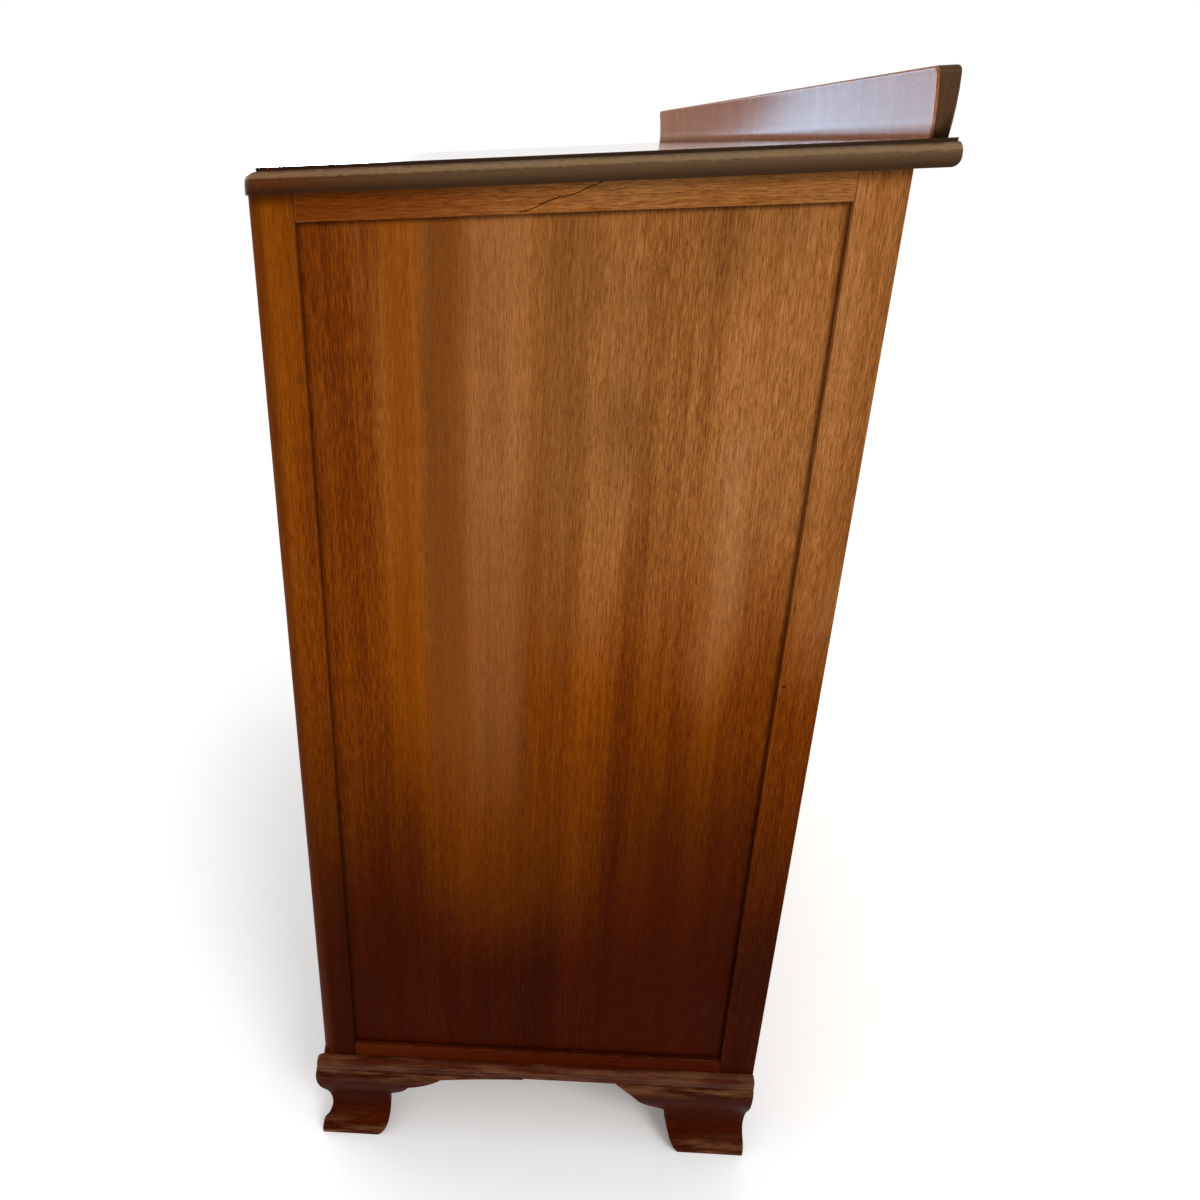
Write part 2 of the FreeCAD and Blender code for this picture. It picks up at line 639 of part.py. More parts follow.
def make_door_panel():
    reach = size.door_groove - size.panel_slack
    tongue = block(
        (opening_left - reach, tongue_front, opening_low - reach),
        (opening_right + reach, tongue_back, opening_high + reach),
    )
    bevel = doc.addObject("Part::Wedge", "Bevel")
    width = opening_right - opening_left - size.door_panel_margin * 2
    height = opening_high - opening_low - size.door_panel_margin * 2
    for setting, value in (
        ("Xmin", 0), ("Xmax", width),
        ("X2min", size.door_bevel_width), ("X2max", width - size.door_bevel_width),
        ("Zmin", 0), ("Zmax", height),
        ("Z2min", size.door_bevel_width), ("Z2max", height - size.door_bevel_width),
        ("Ymin", 0), ("Ymax", size.door_bevel_rise),
    ):
        bind(bevel, setting, value)
    bevel.Placement = Placement(Vector(), Rotation(Vector(1, 0, 0), HALF_TURN))
    place(bevel, (opening_left + size.door_panel_margin, tongue_front, opening_high - size.door_panel_margin))
    inset = size.door_panel_margin + size.door_bevel_width
    field_front = tongue_front - size.door_bevel_rise - size.door_field_step
    field = block(
        (opening_left + inset, field_front, opening_low + inset),
        (opening_right - inset, tongue_front, opening_high - inset),
    )
    panel = sub_part("right_door_panel", fuse(tongue, bevel, field))
    sub_part("left_door_panel", mirror(panel))


def moulding_strip(length, quarter_turns, at):
    """One mitred strip of the planted moulding, with its inner front arris rounded."""
    body = doc.addObject("PartDesign::Body", "Body")
    strip = body.newObject("PartDesign::AdditiveWedge", "Strip")
    width = size.door_moulding_width
    height = size.door_moulding_height
    for setting, value in (
        ("Xmin", 0), ("Xmax", length), ("X2min", width), ("X2max", length - width),
        ("Zmin", 0), ("Zmax", height), ("Z2min", 0), ("Z2max", height),
        ("Ymin", 0), ("Ymax", width),
    ):
        bind(strip, setting, value)
    round_edges(
        body, size.door_moulding_round,
        lambda one, two: all(near(end.y, width) and near(end.z, height) for end in (one, two)),
    )
    stand_up = Rotation(Vector(1, 0, 0), QUARTER_TURN)
    body.Placement = Placement(Vector(), Rotation(Vector(0, 1, 0), -QUARTER_TURN * quarter_turns) * stand_up)
    return place(body, at)


def make_door_moulding():
    width = opening_right - opening_left
    height = opening_high - opening_low
    strips = [
        moulding_strip(width, 0, (opening_left, tongue_front, opening_low)),
        moulding_strip(height, 1, (opening_right, tongue_front, opening_low)),
        moulding_strip(width, 2, (opening_right, tongue_front, opening_high)),
        moulding_strip(height, 3, (opening_left, tongue_front, opening_high)),
    ]
    moulding = sub_part("right_door_moulding", group(*strips))
    sub_part("left_door_moulding", mirror(moulding))


# The latch: a brass knob before the right door turns a tongue behind it, which then holds the left door.

latch_x = door_meeting_x + size.door_stile_width / 2


def make_latch():
    axis_at_face = (latch_x, front_y, size.latch_height)
    hole = size.spindle_radius + size.rose_hole_play
    sub_part("latch_rose", turned([
        (hole, 0),
        (size.rose_radius, 0),
        (size.rose_radius, size.rose_rim, size.rose_height - size.rose_rim),
        (size.rose_radius - size.rose_height + size.rose_rim, size.rose_height),
        (hole, size.rose_height),
    ], axis_at_face))
    spindle_end = -(size.door_thickness + size.knob_gap + size.tongue_thickness)
    collar = size.rose_height + size.knob_gap
    waist = collar + size.knob_collar_height * 3
    shoulder = waist + size.knob_neck_radius
    cap = size.knob_radius * 0.6
    fullest = size.knob_projection - cap
    sub_part("latch_knob", turned([
        (0, spindle_end),
        (size.spindle_radius, spindle_end),
        (size.spindle_radius, collar),
        (size.knob_collar_radius, collar),
        (size.knob_collar_radius, collar + size.knob_collar_height, -size.knob_radius),
        (size.knob_neck_radius, waist, -size.knob_radius),
        (size.knob_collar_radius, shoulder, size.knob_radius / 2),
        (size.knob_radius, fullest, cap_radius(cap, size.knob_radius)),
        (0, size.knob_projection),
    ], axis_at_face))
    front = door_back + size.knob_gap
    back = front + size.tongue_thickness
    straight = size.tongue_length - size.tongue_width / 2
    tip = size.latch_height - straight
    plate = fuse(
        rod(size.tongue_hub_radius, size.tongue_thickness, (latch_x, front, size.latch_height), "y"),
        block(
            (latch_x - size.tongue_width / 2, front, tip),
            (latch_x + size.tongue_width / 2, back, size.latch_height)),
        rod(size.tongue_width / 2, size.tongue_thickness, (latch_x, front, tip), "y"),
    )
    eye = rod(size.spindle_radius, size.tongue_thickness, (latch_x, front, size.latch_height), "y")
    sub_part("latch_tongue", cut(plate, eye))


# The bolt: on the back of the left door, slid up into the drawer rail to hold that door shut.

bolt_x = -latch_x
bolt_y = door_back + size.bolt_plate_thickness + size.bolt_guide_depth / 2
bolt_head = door_high - size.bolt_drop


def make_bolt():
    plate_low = bolt_head - size.bolt_plate_length
    plate_back = door_back + size.bolt_plate_thickness
    guide_back = plate_back + size.bolt_guide_depth
    half_plate = size.bolt_plate_width / 2
    half_guide = size.bolt_guide_width / 2
    parts = [block((bolt_x - half_plate, door_back, plate_low), (bolt_x + half_plate, plate_back, bolt_head))]
    for low in (plate_low, bolt_head - size.bolt_guide_height):
        high = low + size.bolt_guide_height
        parts.append(block((bolt_x - half_guide, plate_back, low), (bolt_x + half_guide, guide_back, high)))
    bore = rod(size.bolt_radius + size.bolt_play, size.bolt_plate_length, (bolt_x, bolt_y, plate_low))
    sub_part("bolt_plate", cut(fuse(*parts), bore))
    grip_height = plate_low + size.bolt_guide_height + size.bolt_grip_radius + size.bolt_rest_gap
    sub_part("door_bolt", fuse(
        rod(size.bolt_radius, size.bolt_length, (bolt_x, bolt_y, bolt_head - size.bolt_length)),
        rod(size.bolt_grip_radius, size.bolt_grip_length, (bolt_x, bolt_y, grip_height), "y"),
    ))


# ---------------------------------------------------------------------------------------------------------
# Front rails. Their tenons also cut the mortises of the stiles.
# ---------------------------------------------------------------------------------------------------------

def tenoned_rail(depth, low, high, tenon_low, tenon_high):
    tenon_end = inner_x + size.front_tenon_length
    tenon_front = behind(size.front_tenon_setback)
    return fuse(
        block((-inner_x, front_y, low), (inner_x, behind(depth), high)),
        block(
            (-tenon_end, tenon_front, tenon_low),
            (tenon_end, tenon_front + size.front_tenon_thickness, tenon_high)),
    )


dust_low = door_head + (size.drawer_rail_thickness - size.dust_board_thickness) / 2
dust_high = dust_low + size.dust_board_thickness
runner_x = inner_x - size.runner_width
runner_front = behind(size.drawer_rail_depth)


def make_front_rails():
    shoulder = size.tenon_shoulder
    sub_part("front_top_rail", tenoned_rail(
        size.front_top_rail_depth, top_rail_low, carcass_top, top_rail_low, carcass_top - shoulder))
    sub_part("front_bottom_rail", tenoned_rail(
        size.front_bottom_rail_depth, foot_top, low_rail_top, foot_top + shoulder, low_rail_top))
    blank = tenoned_rail(size.drawer_rail_depth, door_head, drawer_floor, dust_low, dust_high)
    bolt_hole = rod(size.bolt_hole_radius, size.bolt_hole_depth, (bolt_x, bolt_y, door_head))
    sub_part("drawer_rail", cut(blank, pieces["dust_board"], bolt_hole))


def make_dust_board():
    edge_x = runner_x + size.dust_board_groove
    front = runner_front - size.dust_board_groove
    sub_part("dust_board", block((-edge_x, front, dust_low), (edge_x, boards_front, dust_high)))


# ---------------------------------------------------------------------------------------------------------
# Side frames: two stiles, two rails and a recessed panel. The right side is made, the left mirrors it.
# ---------------------------------------------------------------------------------------------------------

def side_rail(low, high, tenon_low, tenon_high):
    body = block(
        (inner_x, behind(size.stile_width), low),
        (half_width, rear_stile_front, high),
    )
    tenons = block(
        (panel_inner_x, behind(size.stile_width - size.tenon_length), tenon_low),
        (panel_outer_x, rear_stile_front + size.tenon_length, tenon_high),
    )
    return fuse(body, tenons)


def make_side():
    groove = block(
        (panel_inner_x, behind(size.stile_width - size.panel_groove), low_rail_top - size.panel_groove),
        (panel_outer_x, rear_stile_front + size.panel_groove, top_rail_low + size.panel_groove),
    )
    shoulder = size.tenon_shoulder
    bottom = cut(side_rail(foot_top, low_rail_top, foot_top + shoulder, low_rail_top), groove)
    top = cut(side_rail(top_rail_low, carcass_top, top_rail_low, carcass_top - shoulder), groove)
    rails = sub_part("right_side_rails", group(bottom, top))
    sub_part("left_side_rails", mirror(rails))

    thick = size.side_thickness
    stop = foot_top + size.moulding_height
    rounded = pad("XY_Plane", [
        (0, 0),
        (thick - size.arris_radius, 0, size.arris_radius),
        (thick, size.arris_radius),
        (thick, size.stile_width),
        (0, size.stile_width),
    ], size.carcass_height - size.moulding_height, (inner_x, front_y, stop))
    square = block((inner_x, front_y, foot_top), (half_width, behind(size.stile_width), stop))
    front_blank = fuse(square, rounded)
    recesses = []
    for low in hinge_lows:
        recesses.append(hinge_recess(inner_x, inner_x + size.hinge_leaf_thickness, low))
    front_rails = [pieces[name] for name in ("front_top_rail", "drawer_rail", "front_bottom_rail")]
    front_stile = sub_part(
        "right_front_stile", cut(front_blank, groove, bottom, top, *front_rails, *recesses))
    sub_part("left_front_stile", mirror(front_stile))

    rear_blank = block((inner_x, rear_stile_front, foot_top), (half_width, back_y, carcass_top))
    rebate = block((inner_x, boards_front, foot_top), (inner_x + size.back_rebate, back_y, carcass_top))
    rear_stile = cut(rear_blank, rebate, groove, bottom, top, pieces["back_top_rail"])
    sub_part("right_rear_stile", rear_stile)
    sub_part("left_rear_stile", mirror(rear_stile))

    reach = size.panel_groove - size.panel_slack
    panel = block(
        (panel_inner_x, behind(size.stile_width) - reach, low_rail_top - reach),
        (panel_outer_x, rear_stile_front + reach, top_rail_low + reach),
    )
    sub_part("right_side_panel", panel)
    sub_part("left_side_panel", mirror(panel))


# ---------------------------------------------------------------------------------------------------------
# Back, floor, shelves and the woodwork that the drawer runs on.
# ---------------------------------------------------------------------------------------------------------

def make_back():
    tenon_end = inner_x + size.back_tenon_length
    tenon_front = rear_stile_front + size.tenon_shoulder
    sub_part("back_top_rail", fuse(
        block((-inner_x, rear_stile_front, top_rail_low), (inner_x, boards_front, carcass_top)),
        block(
            (-tenon_end, tenon_front, top_rail_low),
            (tenon_end, tenon_front + size.front_tenon_thickness, carcass_top - size.tenon_shoulder),
        ),
    ))
    edge_x = inner_x + size.back_rebate
    width = edge_x * 2 / BACK_BOARD_COUNT
    thick = size.back_board_thickness
    chamfer = size.back_chamfer
    boards = []
    for index in range(BACK_BOARD_COUNT):
        boards.append(pad("XY_Plane", [
            (0, 0),
            (width, 0),
            (width, thick - chamfer),
            (width - chamfer, thick),
            (chamfer, thick),
            (0, thick - chamfer),
        ], size.carcass_height, (width * index - edge_x, boards_front, foot_top)))
    sub_part("back_boards", group(*boards))


def make_floor_and_shelves():
    high = low_rail_top + size.floor_thickness
    gap = size.ledge_gap
    sub_part("floor_board", fuse(
        block((-inner_x, behind(size.floor_setback), low_rail_top), (inner_x, boards_front, high)),
        block(
            (-ledge_x, behind(size.stile_width) + gap, low_rail_top),
            (ledge_x, rear_stile_front - gap, high)),
    ))
    edge_x = inner_x - size.shelf_play
    bearers = []
    for name, low in (("lower_shelf", size.lower_shelf_height), ("upper_shelf", size.upper_shelf_height)):
        back = boards_front - size.shelf_play
        shelf_high = low + size.shelf_thickness
        sub_part(name, block((-edge_x, behind(size.shelf_setback), low), (edge_x, back, shelf_high)))
        bearer_low = low - size.bearer_size
        bearers.append(block(
            (inner_x - size.bearer_size, behind(size.bearer_setback), bearer_low),
            (inner_x, boards_front, low)))
    sub_part("shelf_bearers", group(*bearers, *[mirror(bearer) for bearer in bearers]))


def make_drawer_supports():
    between_stiles_back = rear_stile_front - size.ledge_gap
    runner = cut(
        fuse(
            block((runner_x, runner_front, door_head), (inner_x, boards_front, drawer_floor)),
            block((runner_x, runner_front, door_head), (ledge_x, between_stiles_back, drawer_floor)),
        ),
        pieces["dust_board"],
    )
    sub_part("drawer_runners", pair(runner))
    guide_high = drawer_floor + size.guide_height
    guide = block((inner_x, runner_front, drawer_floor), (ledge_x, between_stiles_back, guide_high))
    sub_part("drawer_guides", pair(guide))
    kicker = block(
        (inner_x - size.kicker_width, behind(size.front_top_rail_depth), top_rail_low),
        (inner_x, rear_stile_front, carcass_top),
    )
    sub_part("drawer_kickers", pair(kicker))
    stop_front = behind(size.drawer_front_thickness + size.drawer_running_gap)
    stop = block(
        (size.stop_offset - size.stop_width / 2, stop_front, drawer_floor),
        (size.stop_offset + size.stop_width / 2, stop_front + size.stop_depth,
         drawer_floor + size.stop_height),
    )
    sub_part("drawer_stops", pair(stop))


# ---------------------------------------------------------------------------------------------------------
# Top board with its raised back.
# ---------------------------------------------------------------------------------------------------------

def rounded_front_outline(half, front, back, radius):
    """A board's plan with two rounded front corners."""
    return [
        (-half, front + radius, radius),
        (-half + radius, front),
        (half - radius, front, radius),
        (half, front + radius),
        (half, back),
        (-half, back),
    ]


def make_top():
    screws = []
    screw_y = behind(size.carcass_depth + size.splash_setback + size.splash_foot_thickness / 2)
    for index in range(-SPLASH_SCREWS_EACH_SIDE, SPLASH_SCREWS_EACH_SIDE + 1):
        at = (size.splash_screw_spacing * index, screw_y, carcass_top)
        head = doc.addObject("Part::Cone", "Head")
        bind(head, "Radius1", size.splash_screw_head_radius)
        bind(head, "Radius2", size.splash_screw_radius)
        bind(head, "Height", size.splash_screw_head_height)
        place(head, at)
        screws.append(fuse(head, rod(size.splash_screw_radius, size.splash_screw_length, at)))
    all_screws = sub_part("splashback_screws", group(*screws))

    body = doc.addObject("PartDesign::Body", "Body")
    half = half_width + size.top_side_overhang
    back = size.carcass_depth + size.top_back_overhang
    moulded_height = size.top_thickness - size.top_step
    add_pad(body, "XY_Plane", rounded_front_outline(half, 0, back, size.top_corner_radius), moulded_height)

    def on_moulded_edge(one, two):
        return near(one.z, moulded_height) and near(two.z, moulded_height) and not (
            near(one.y, back) and near(two.y, back))

    round_edges(body, size.thumbnail_radius, on_moulded_edge)
    step_outline = rounded_front_outline(half_width, size.top_side_overhang, back, size.top_step_corner)
    add_pad(body, "XY_Plane", step_outline, size.top_thickness)

    def on_back_edge(one, two):
        return near(one.y, back) and near(two.y, back) and near(one.z, two.z)

    round_edges(body, size.top_back_round, lambda one, two: on_back_edge(one, two) and near(one.z, 0))
    place(body, (0, front_y, carcass_top))
    sub_part("top_board", cut(body, all_screws))

    splash = doc.addObject("PartDesign::Body", "Body")
    foot = size.splash_setback
    face = foot - size.splash_lean
    rise = size.splash_height
    add_pad(splash, "YZ_Plane", [
        (foot, 0),
        (foot + size.splash_foot_thickness, 0, size.splash_hollow),
        (face + size.splash_head_thickness, rise),
        (face, rise, -size.splash_hollow),
    ], size.carcass_width)

    def on_head(one, two):
        return near(one.z, rise) and near(two.z, rise)

    round_edges(splash, size.splash_end_round, lambda one, two: on_head(one, two) and near(one.x, two.x))
    round_edges(splash, size.splash_round, lambda one, two: on_head(one, two) and near(one.y, two.y))
    place(splash, (-half_width, back_y, carcass_top + size.top_thickness))
    sub_part("splashback", cut(splash, all_screws))


# ---------------------------------------------------------------------------------------------------------
# Base: a moulding on each side that returns on itself at the front, a bead between the returns, and ogee
# bracket feet cut from moulded stock.
# ---------------------------------------------------------------------------------------------------------

PLAN_MARGIN = 4


def base_moulding_profile():
    """Section of the base moulding: distance out from the carcass, and height above its foot."""
    out = size.moulding_projection
    quirk = out - size.moulding_quirk_depth
    quirk_top = size.moulding_fascia + size.moulding_quirk_height
    return [
        (0, 0),
        (out, 0),
        (out, size.moulding_fascia),
        (quirk, size.moulding_fascia),
        (quirk, quirk_top),
        (out, quirk_top),
        (out, quirk_top + size.moulding_lip, size.moulding_round),
        (size.moulding_fillet, size.moulding_height),
        (0, size.moulding_height),
    ]


def corner_return(moulded, reach, low, high):
    """A side moulding's own return: its section turned round the front corner, and stopped past the front."""
    turned_piece = mirror(moulded, Vector(1, 1, 0), (half_width, front_y, 0))
    return common(turned_piece, block((half_width, behind(-reach), low), (half_width + reach, front_y, high)))


def make_base_moulding():
    reach = size.moulding_projection + PLAN_MARGIN
    side_run = pad(
        "XZ_Plane", base_moulding_profile(),
        size.carcass_depth + reach, (half_width, behind(-reach), foot_top))
    side_plan = pad("XY_Plane", [
        (0, 0),
        (reach, -reach),
        (reach, size.carcass_depth),
        (0, size.carcass_depth),
    ], size.moulding_height, (half_width, front_y, foot_top))
    side = common(side_run, side_plan)
    side_return = corner_return(side, reach, foot_top, foot_top + size.moulding_height)
    right = sub_part("right_base_moulding", fuse(side, side_return))
    sub_part("left_base_moulding", mirror(right))
    bead = [
        (0, 0),
        (-size.front_bead_edge, 0, cap_radius(size.front_bead_swell, size.front_bead_height / 2)),
        (-size.front_bead_edge, size.front_bead_height),
        (0, size.front_bead_height),
    ]
    sub_part("front_base_moulding", pad(
        "YZ_Plane", bead, size.carcass_width, (-half_width, front_y, foot_top)))


def ogee_profile():
    """Section of the foot stock: distance out from the carcass face, and height above the floor."""
    upper_across = size.foot_bulge + size.foot_neck
    upper_along = size.foot_bulge_height - size.foot_neck_height
    upper = s_curve_radius(upper_across, upper_along)
    lower_across = size.foot_toe + size.foot_neck
    lower_along = size.foot_neck_height - size.foot_toe_height
    lower = s_curve_radius(lower_across, lower_along)
    toe = cap_radius(size.foot_toe - size.foot_sole, size.foot_toe_height)
    head = cap_radius(size.foot_bulge - size.foot_head, size.foot_height - size.foot_bulge_height)
    return [
        (-size.foot_stock_inset, 0),
        (size.foot_sole, 0, toe),
        (size.foot_toe, size.foot_toe_height, lower),
        (size.foot_toe - lower_across / 2, size.foot_toe_height + lower_along / 2, -lower),
        (-size.foot_neck, size.foot_neck_height, -upper),
        (size.foot_bulge - upper_across / 2, size.foot_neck_height + upper_along / 2, upper),
        (size.foot_bulge, size.foot_bulge_height, head),
        (size.foot_head, size.foot_height),
        (-size.foot_stock_inset, size.foot_height),
    ]


def bracket_outline(way, start, width, ankle, cusp_height, steps):
    """Outline of a bracket along the base: an upright ankle, then the steps that rise to its thin tip."""
    outline = [
        (start * way, 0),
        (width * way, 0, cap_radius(ankle - width, size.ankle_height)),
        (ankle * way, size.ankle_height),
    ]
    along, height = ankle, cusp_height
    for reach, rise, radius in steps:
        outline.append((along * way, height, radius))
        along, height = along + reach, height + rise
    tip = size.foot_height - size.taper_end
    return outline + [(along * way, tip), (along * way, size.foot_height), (start * way, size.foot_height)]


def front_bracket_outline(way, start, width, ankle):
    """Two lobes and a long taper."""
    return bracket_outline(way, start, width, ankle, size.cusp_height, [
        (size.lobe_reach, size.lobe_rise, size.lobe_radius),
        (size.second_lobe_reach, size.second_lobe_rise, size.second_lobe_radius),
        (size.taper_reach, 0, -size.taper_radius),
    ])


def rear_bracket_outline():
    """A rounded cusp, one lobe and a hollow, drawn from the carcass back."""
    return bracket_outline(-1, 0, size.rear_foot_width, size.rear_foot_ankle, size.rear_cusp_height, [
        (size.rear_cusp_reach, size.rear_cusp_rise, size.rear_cusp_radius),
        (size.rear_lobe_reach, size.rear_lobe_rise, size.rear_lobe_radius),
        (size.rear_hollow_reach, 0, -size.rear_hollow_radius),
    ])


def make_feet():
    inset = size.foot_stock_inset
    thickness = inset + size.foot_bulge
    run_length = size.carcass_depth / 2
    reach = size.foot_bulge + PLAN_MARGIN

    front_run = pad("XZ_Plane", ogee_profile(), run_length + reach, (half_width, behind(-reach), 0))
    front_outline = pad(
        "YZ_Plane", front_bracket_outline(1, -reach, size.front_foot_width, size.front_foot_ankle),
        thickness, (half_width - inset, front_y, 0))
    front_plan = pad("XY_Plane", [
        (-inset, inset),
        (reach, -reach),
        (reach, run_length),
        (-inset, run_length),
    ], size.foot_height, (half_width, front_y, 0))
    side_bracket = common(front_run, front_outline, front_plan)
    foot_return = corner_return(side_bracket, reach, 0, foot_top)
    recess = size.front_bracket_recess
    plain_outline = pad(
        "XZ_Plane", front_bracket_outline(-1, 0, size.front_foot_width, size.front_foot_ankle),
        inset - recess, (half_width, behind(recess), 0))
    plain_plan = pad("XY_Plane", [
        (-recess, recess),
        (-inset, inset),
        (-run_length, inset),
        (-run_length, recess),
    ], size.foot_height, (half_width, front_y, 0))
    plain_bracket = common(plain_outline, plain_plan)
    front_foot = sub_part("front_right_foot", group(fuse(side_bracket, foot_return), plain_bracket))
    sub_part("front_left_foot", mirror(front_foot))

    rear_run = pad("XZ_Plane", ogee_profile(), run_length, (half_width, back_y - run_length, 0))
    rear_outline = pad("YZ_Plane", rear_bracket_outline(), thickness, (half_width - inset, back_y, 0))
    back_outline = front_bracket_outline(-1, 0, size.front_foot_width - inset, size.front_foot_ankle - inset)
    back_bracket = pad(
        "XZ_Plane", back_outline,
        size.rear_bracket_thickness, (half_width - inset, back_y - size.rear_bracket_thickness, 0))
    rear_foot = sub_part("rear_right_foot", group(common(rear_run, rear_outline), back_bracket))
    sub_part("rear_left_foot", mirror(rear_foot))

    block_outer = half_width - inset
    block_inner = block_outer - size.foot_block_size
    rear_block_back = back_y - size.rear_bracket_thickness
    front_block = block(
        (block_inner, behind(inset), size.foot_block_clearance),
        (block_outer, behind(inset + size.foot_block_size), foot_top),
    )
    rear_block = block(
        (block_inner, rear_block_back - size.foot_block_size, size.foot_block_clearance),
        (block_outer, rear_block_back, foot_top),
    )
    sub_part("foot_blocks", group(front_block, rear_block, mirror(front_block), mirror(rear_block)))


# ---------------------------------------------------------------------------------------------------------
# Drawer: lapped dovetails in front, through dovetails behind, a grooved bottom and a cock-beaded front.
# ---------------------------------------------------------------------------------------------------------

drawer_x = inner_x - size.drawer_side_gap
drawer_low = drawer_floor + size.drawer_side_gap
drawer_high = top_rail_low - size.drawer_side_gap
drawer_side_low = drawer_floor + size.drawer_running_gap
drawer_bottom_low = drawer_side_low + size.drawer_bottom_rise
drawer_bottom_high = drawer_bottom_low + size.drawer_bottom_thickness


def dovetail(centre, root, tip):
    """The four corners of one tail, from its lower root round to its upper root."""
    half_root = size.drawer_side_height / DOVETAIL_COUNT * size.dovetail_share
    length = tip - root if tip.number > root.number else root - tip
    half_tip = half_root + length / size.dovetail_slope
    return [
        (root, centre - half_root), (tip, centre - half_tip),
        (tip, centre + half_tip), (root, centre + half_root),
    ]


def drawer_side_outline():
    front_root = size.drawer_front_thickness
    front_tip = size.dovetail_lap
    back_tip = size.drawer_length
    back_root = back_tip - size.drawer_back_thickness
    centres = []
    for index in range(DOVETAIL_COUNT):
        centres.append(size.drawer_side_height * (index + 0.5) / DOVETAIL_COUNT)
    outline = [(front_root, 0), (back_root, 0)]
    for centre in centres:
        outline += dovetail(centre, back_root, back_tip)
    outline += [(back_root, size.drawer_side_height), (front_root, size.drawer_side_height)]
    for centre in reversed(centres):
        outline += reversed(dovetail(centre, front_root, front_tip))
    return outline


def bead_section(upright):
    """Cock bead: a thin strip with a rounded nose, drawn for an upright or a level length of it."""
    thick = size.bead_thickness
    section = []
    for deep, wide in ((0, 0), (size.dovetail_lap, 0), (size.dovetail_lap, thick), (0, thick)):
        section.append((wide, deep) if upright else (deep, wide))
    section[3] += (size.bead_nose,)
    return section


def make_drawer():
    bottom_x = drawer_x - size.drawer_side_thickness + size.drawer_groove
    bottom_front = behind(size.drawer_front_thickness - size.drawer_groove)
    drawer_end = behind(size.drawer_length)
    bottom = sub_part("drawer_bottom", block(
        (-bottom_x, bottom_front, drawer_bottom_low), (bottom_x, drawer_end, drawer_bottom_high)))

    side_blank = pad(
        "YZ_Plane", drawer_side_outline(), size.drawer_side_thickness,
        (drawer_x - size.drawer_side_thickness, front_y, drawer_side_low))
    side = cut(side_blank, bottom)
    sides = sub_part("drawer_sides", pair(side))

    back_high = drawer_side_low + size.drawer_side_height - size.drawer_back_drop
    back_blank = block(
        (-drawer_x, drawer_end - size.drawer_back_thickness, drawer_bottom_high),
        (drawer_x, drawer_end, back_high),
    )
    sub_part("drawer_back", cut(back_blank, sides))

    thick = size.bead_thickness
    bar = bead_section(upright=False)
    upright = bead_section(upright=True)
    upright_length = drawer_high - drawer_low - thick * 2
    beads = [
        pad("YZ_Plane", bar, drawer_x * 2, (-drawer_x, front_y, drawer_low)),
        pad("YZ_Plane", bar, drawer_x * 2, (-drawer_x, front_y, drawer_high - thick)),
        pad("XY_Plane", upright, upright_length, (-drawer_x, front_y, drawer_low + thick)),
        pad("XY_Plane", upright, upright_length, (drawer_x - thick, front_y, drawer_low + thick)),
    ]
    sub_part("drawer_cock_beads", group(*beads))
    front_back = behind(size.drawer_front_thickness)
    front_blank = block((-drawer_x, front_y, drawer_low), (drawer_x, front_back, drawer_high))
    shanks = []
    for x in post_places():
        shanks.append(rod(size.post_shank_radius, size.drawer_front_thickness, (x, front_y, pivot_z), "y"))
    sub_part("drawer_front", cut(front_blank, *beads, *sides.Links, bottom, *shanks))


# Handles: a swan-neck bail that hangs between two turned posts.

pivot_y = behind(-size.post_projection)
pivot_z = (drawer_floor + top_rail_low) / 2 + size.handle_rise


def post_places():
    half = size.post_spacing / 2
    return [size.handle_offset * side + half * way for side in (-1, 1) for way in (-1, 1)]


def handle_post(x):
    face = (x, front_y, pivot_z)
    nut_front = behind(size.drawer_front_thickness)
    shank_end = -(size.drawer_front_thickness + size.post_nut_height + size.post_shank_end)
    stem = turned([
        (0, shank_end),
        (size.post_shank_radius, shank_end),
        (size.post_shank_radius, 0),
        (size.post_rose_radius, 0),
        (size.post_rose_radius, size.post_rose_rim, size.post_rose_height - size.post_rose_rim),
        (size.post_rose_radius - size.post_rose_height + size.post_rose_rim, size.post_rose_height),
        (size.post_neck_radius + size.post_rose_rim, size.post_rose_height),
        (size.post_neck_radius, size.post_rose_height + size.post_rose_rim),
        (size.post_neck_radius, size.post_projection),
        (0, size.post_projection),
    ], face)
    ball = doc.addObject("Part::Sphere", "Ball")
    bind(ball, "Radius", size.post_ball_radius)
    place(ball, (x, pivot_y, pivot_z))
    bore_radius = size.bail_radius + size.bail_play
    bore_start = x - size.post_ball_radius
    bore = rod(bore_radius, size.post_ball_radius * 2, (bore_start, pivot_y, pivot_z), "x")
    nut = doc.addObject("Part::Prism", "Nut")
    nut.Polygon = 6
    bind(nut, "Circumradius", size.post_nut_radius)
    bind(nut, "Height", size.post_nut_height)
    nut.Placement = Placement(Vector(), TOWARDS["y"])
    place(nut, (x, nut_front, pivot_z))
    shank = rod(size.post_shank_radius, size.post_nut_height, (x, nut_front, pivot_z), "y")
    return [cut(fuse(stem, ball), bore), cut(nut, shank)]


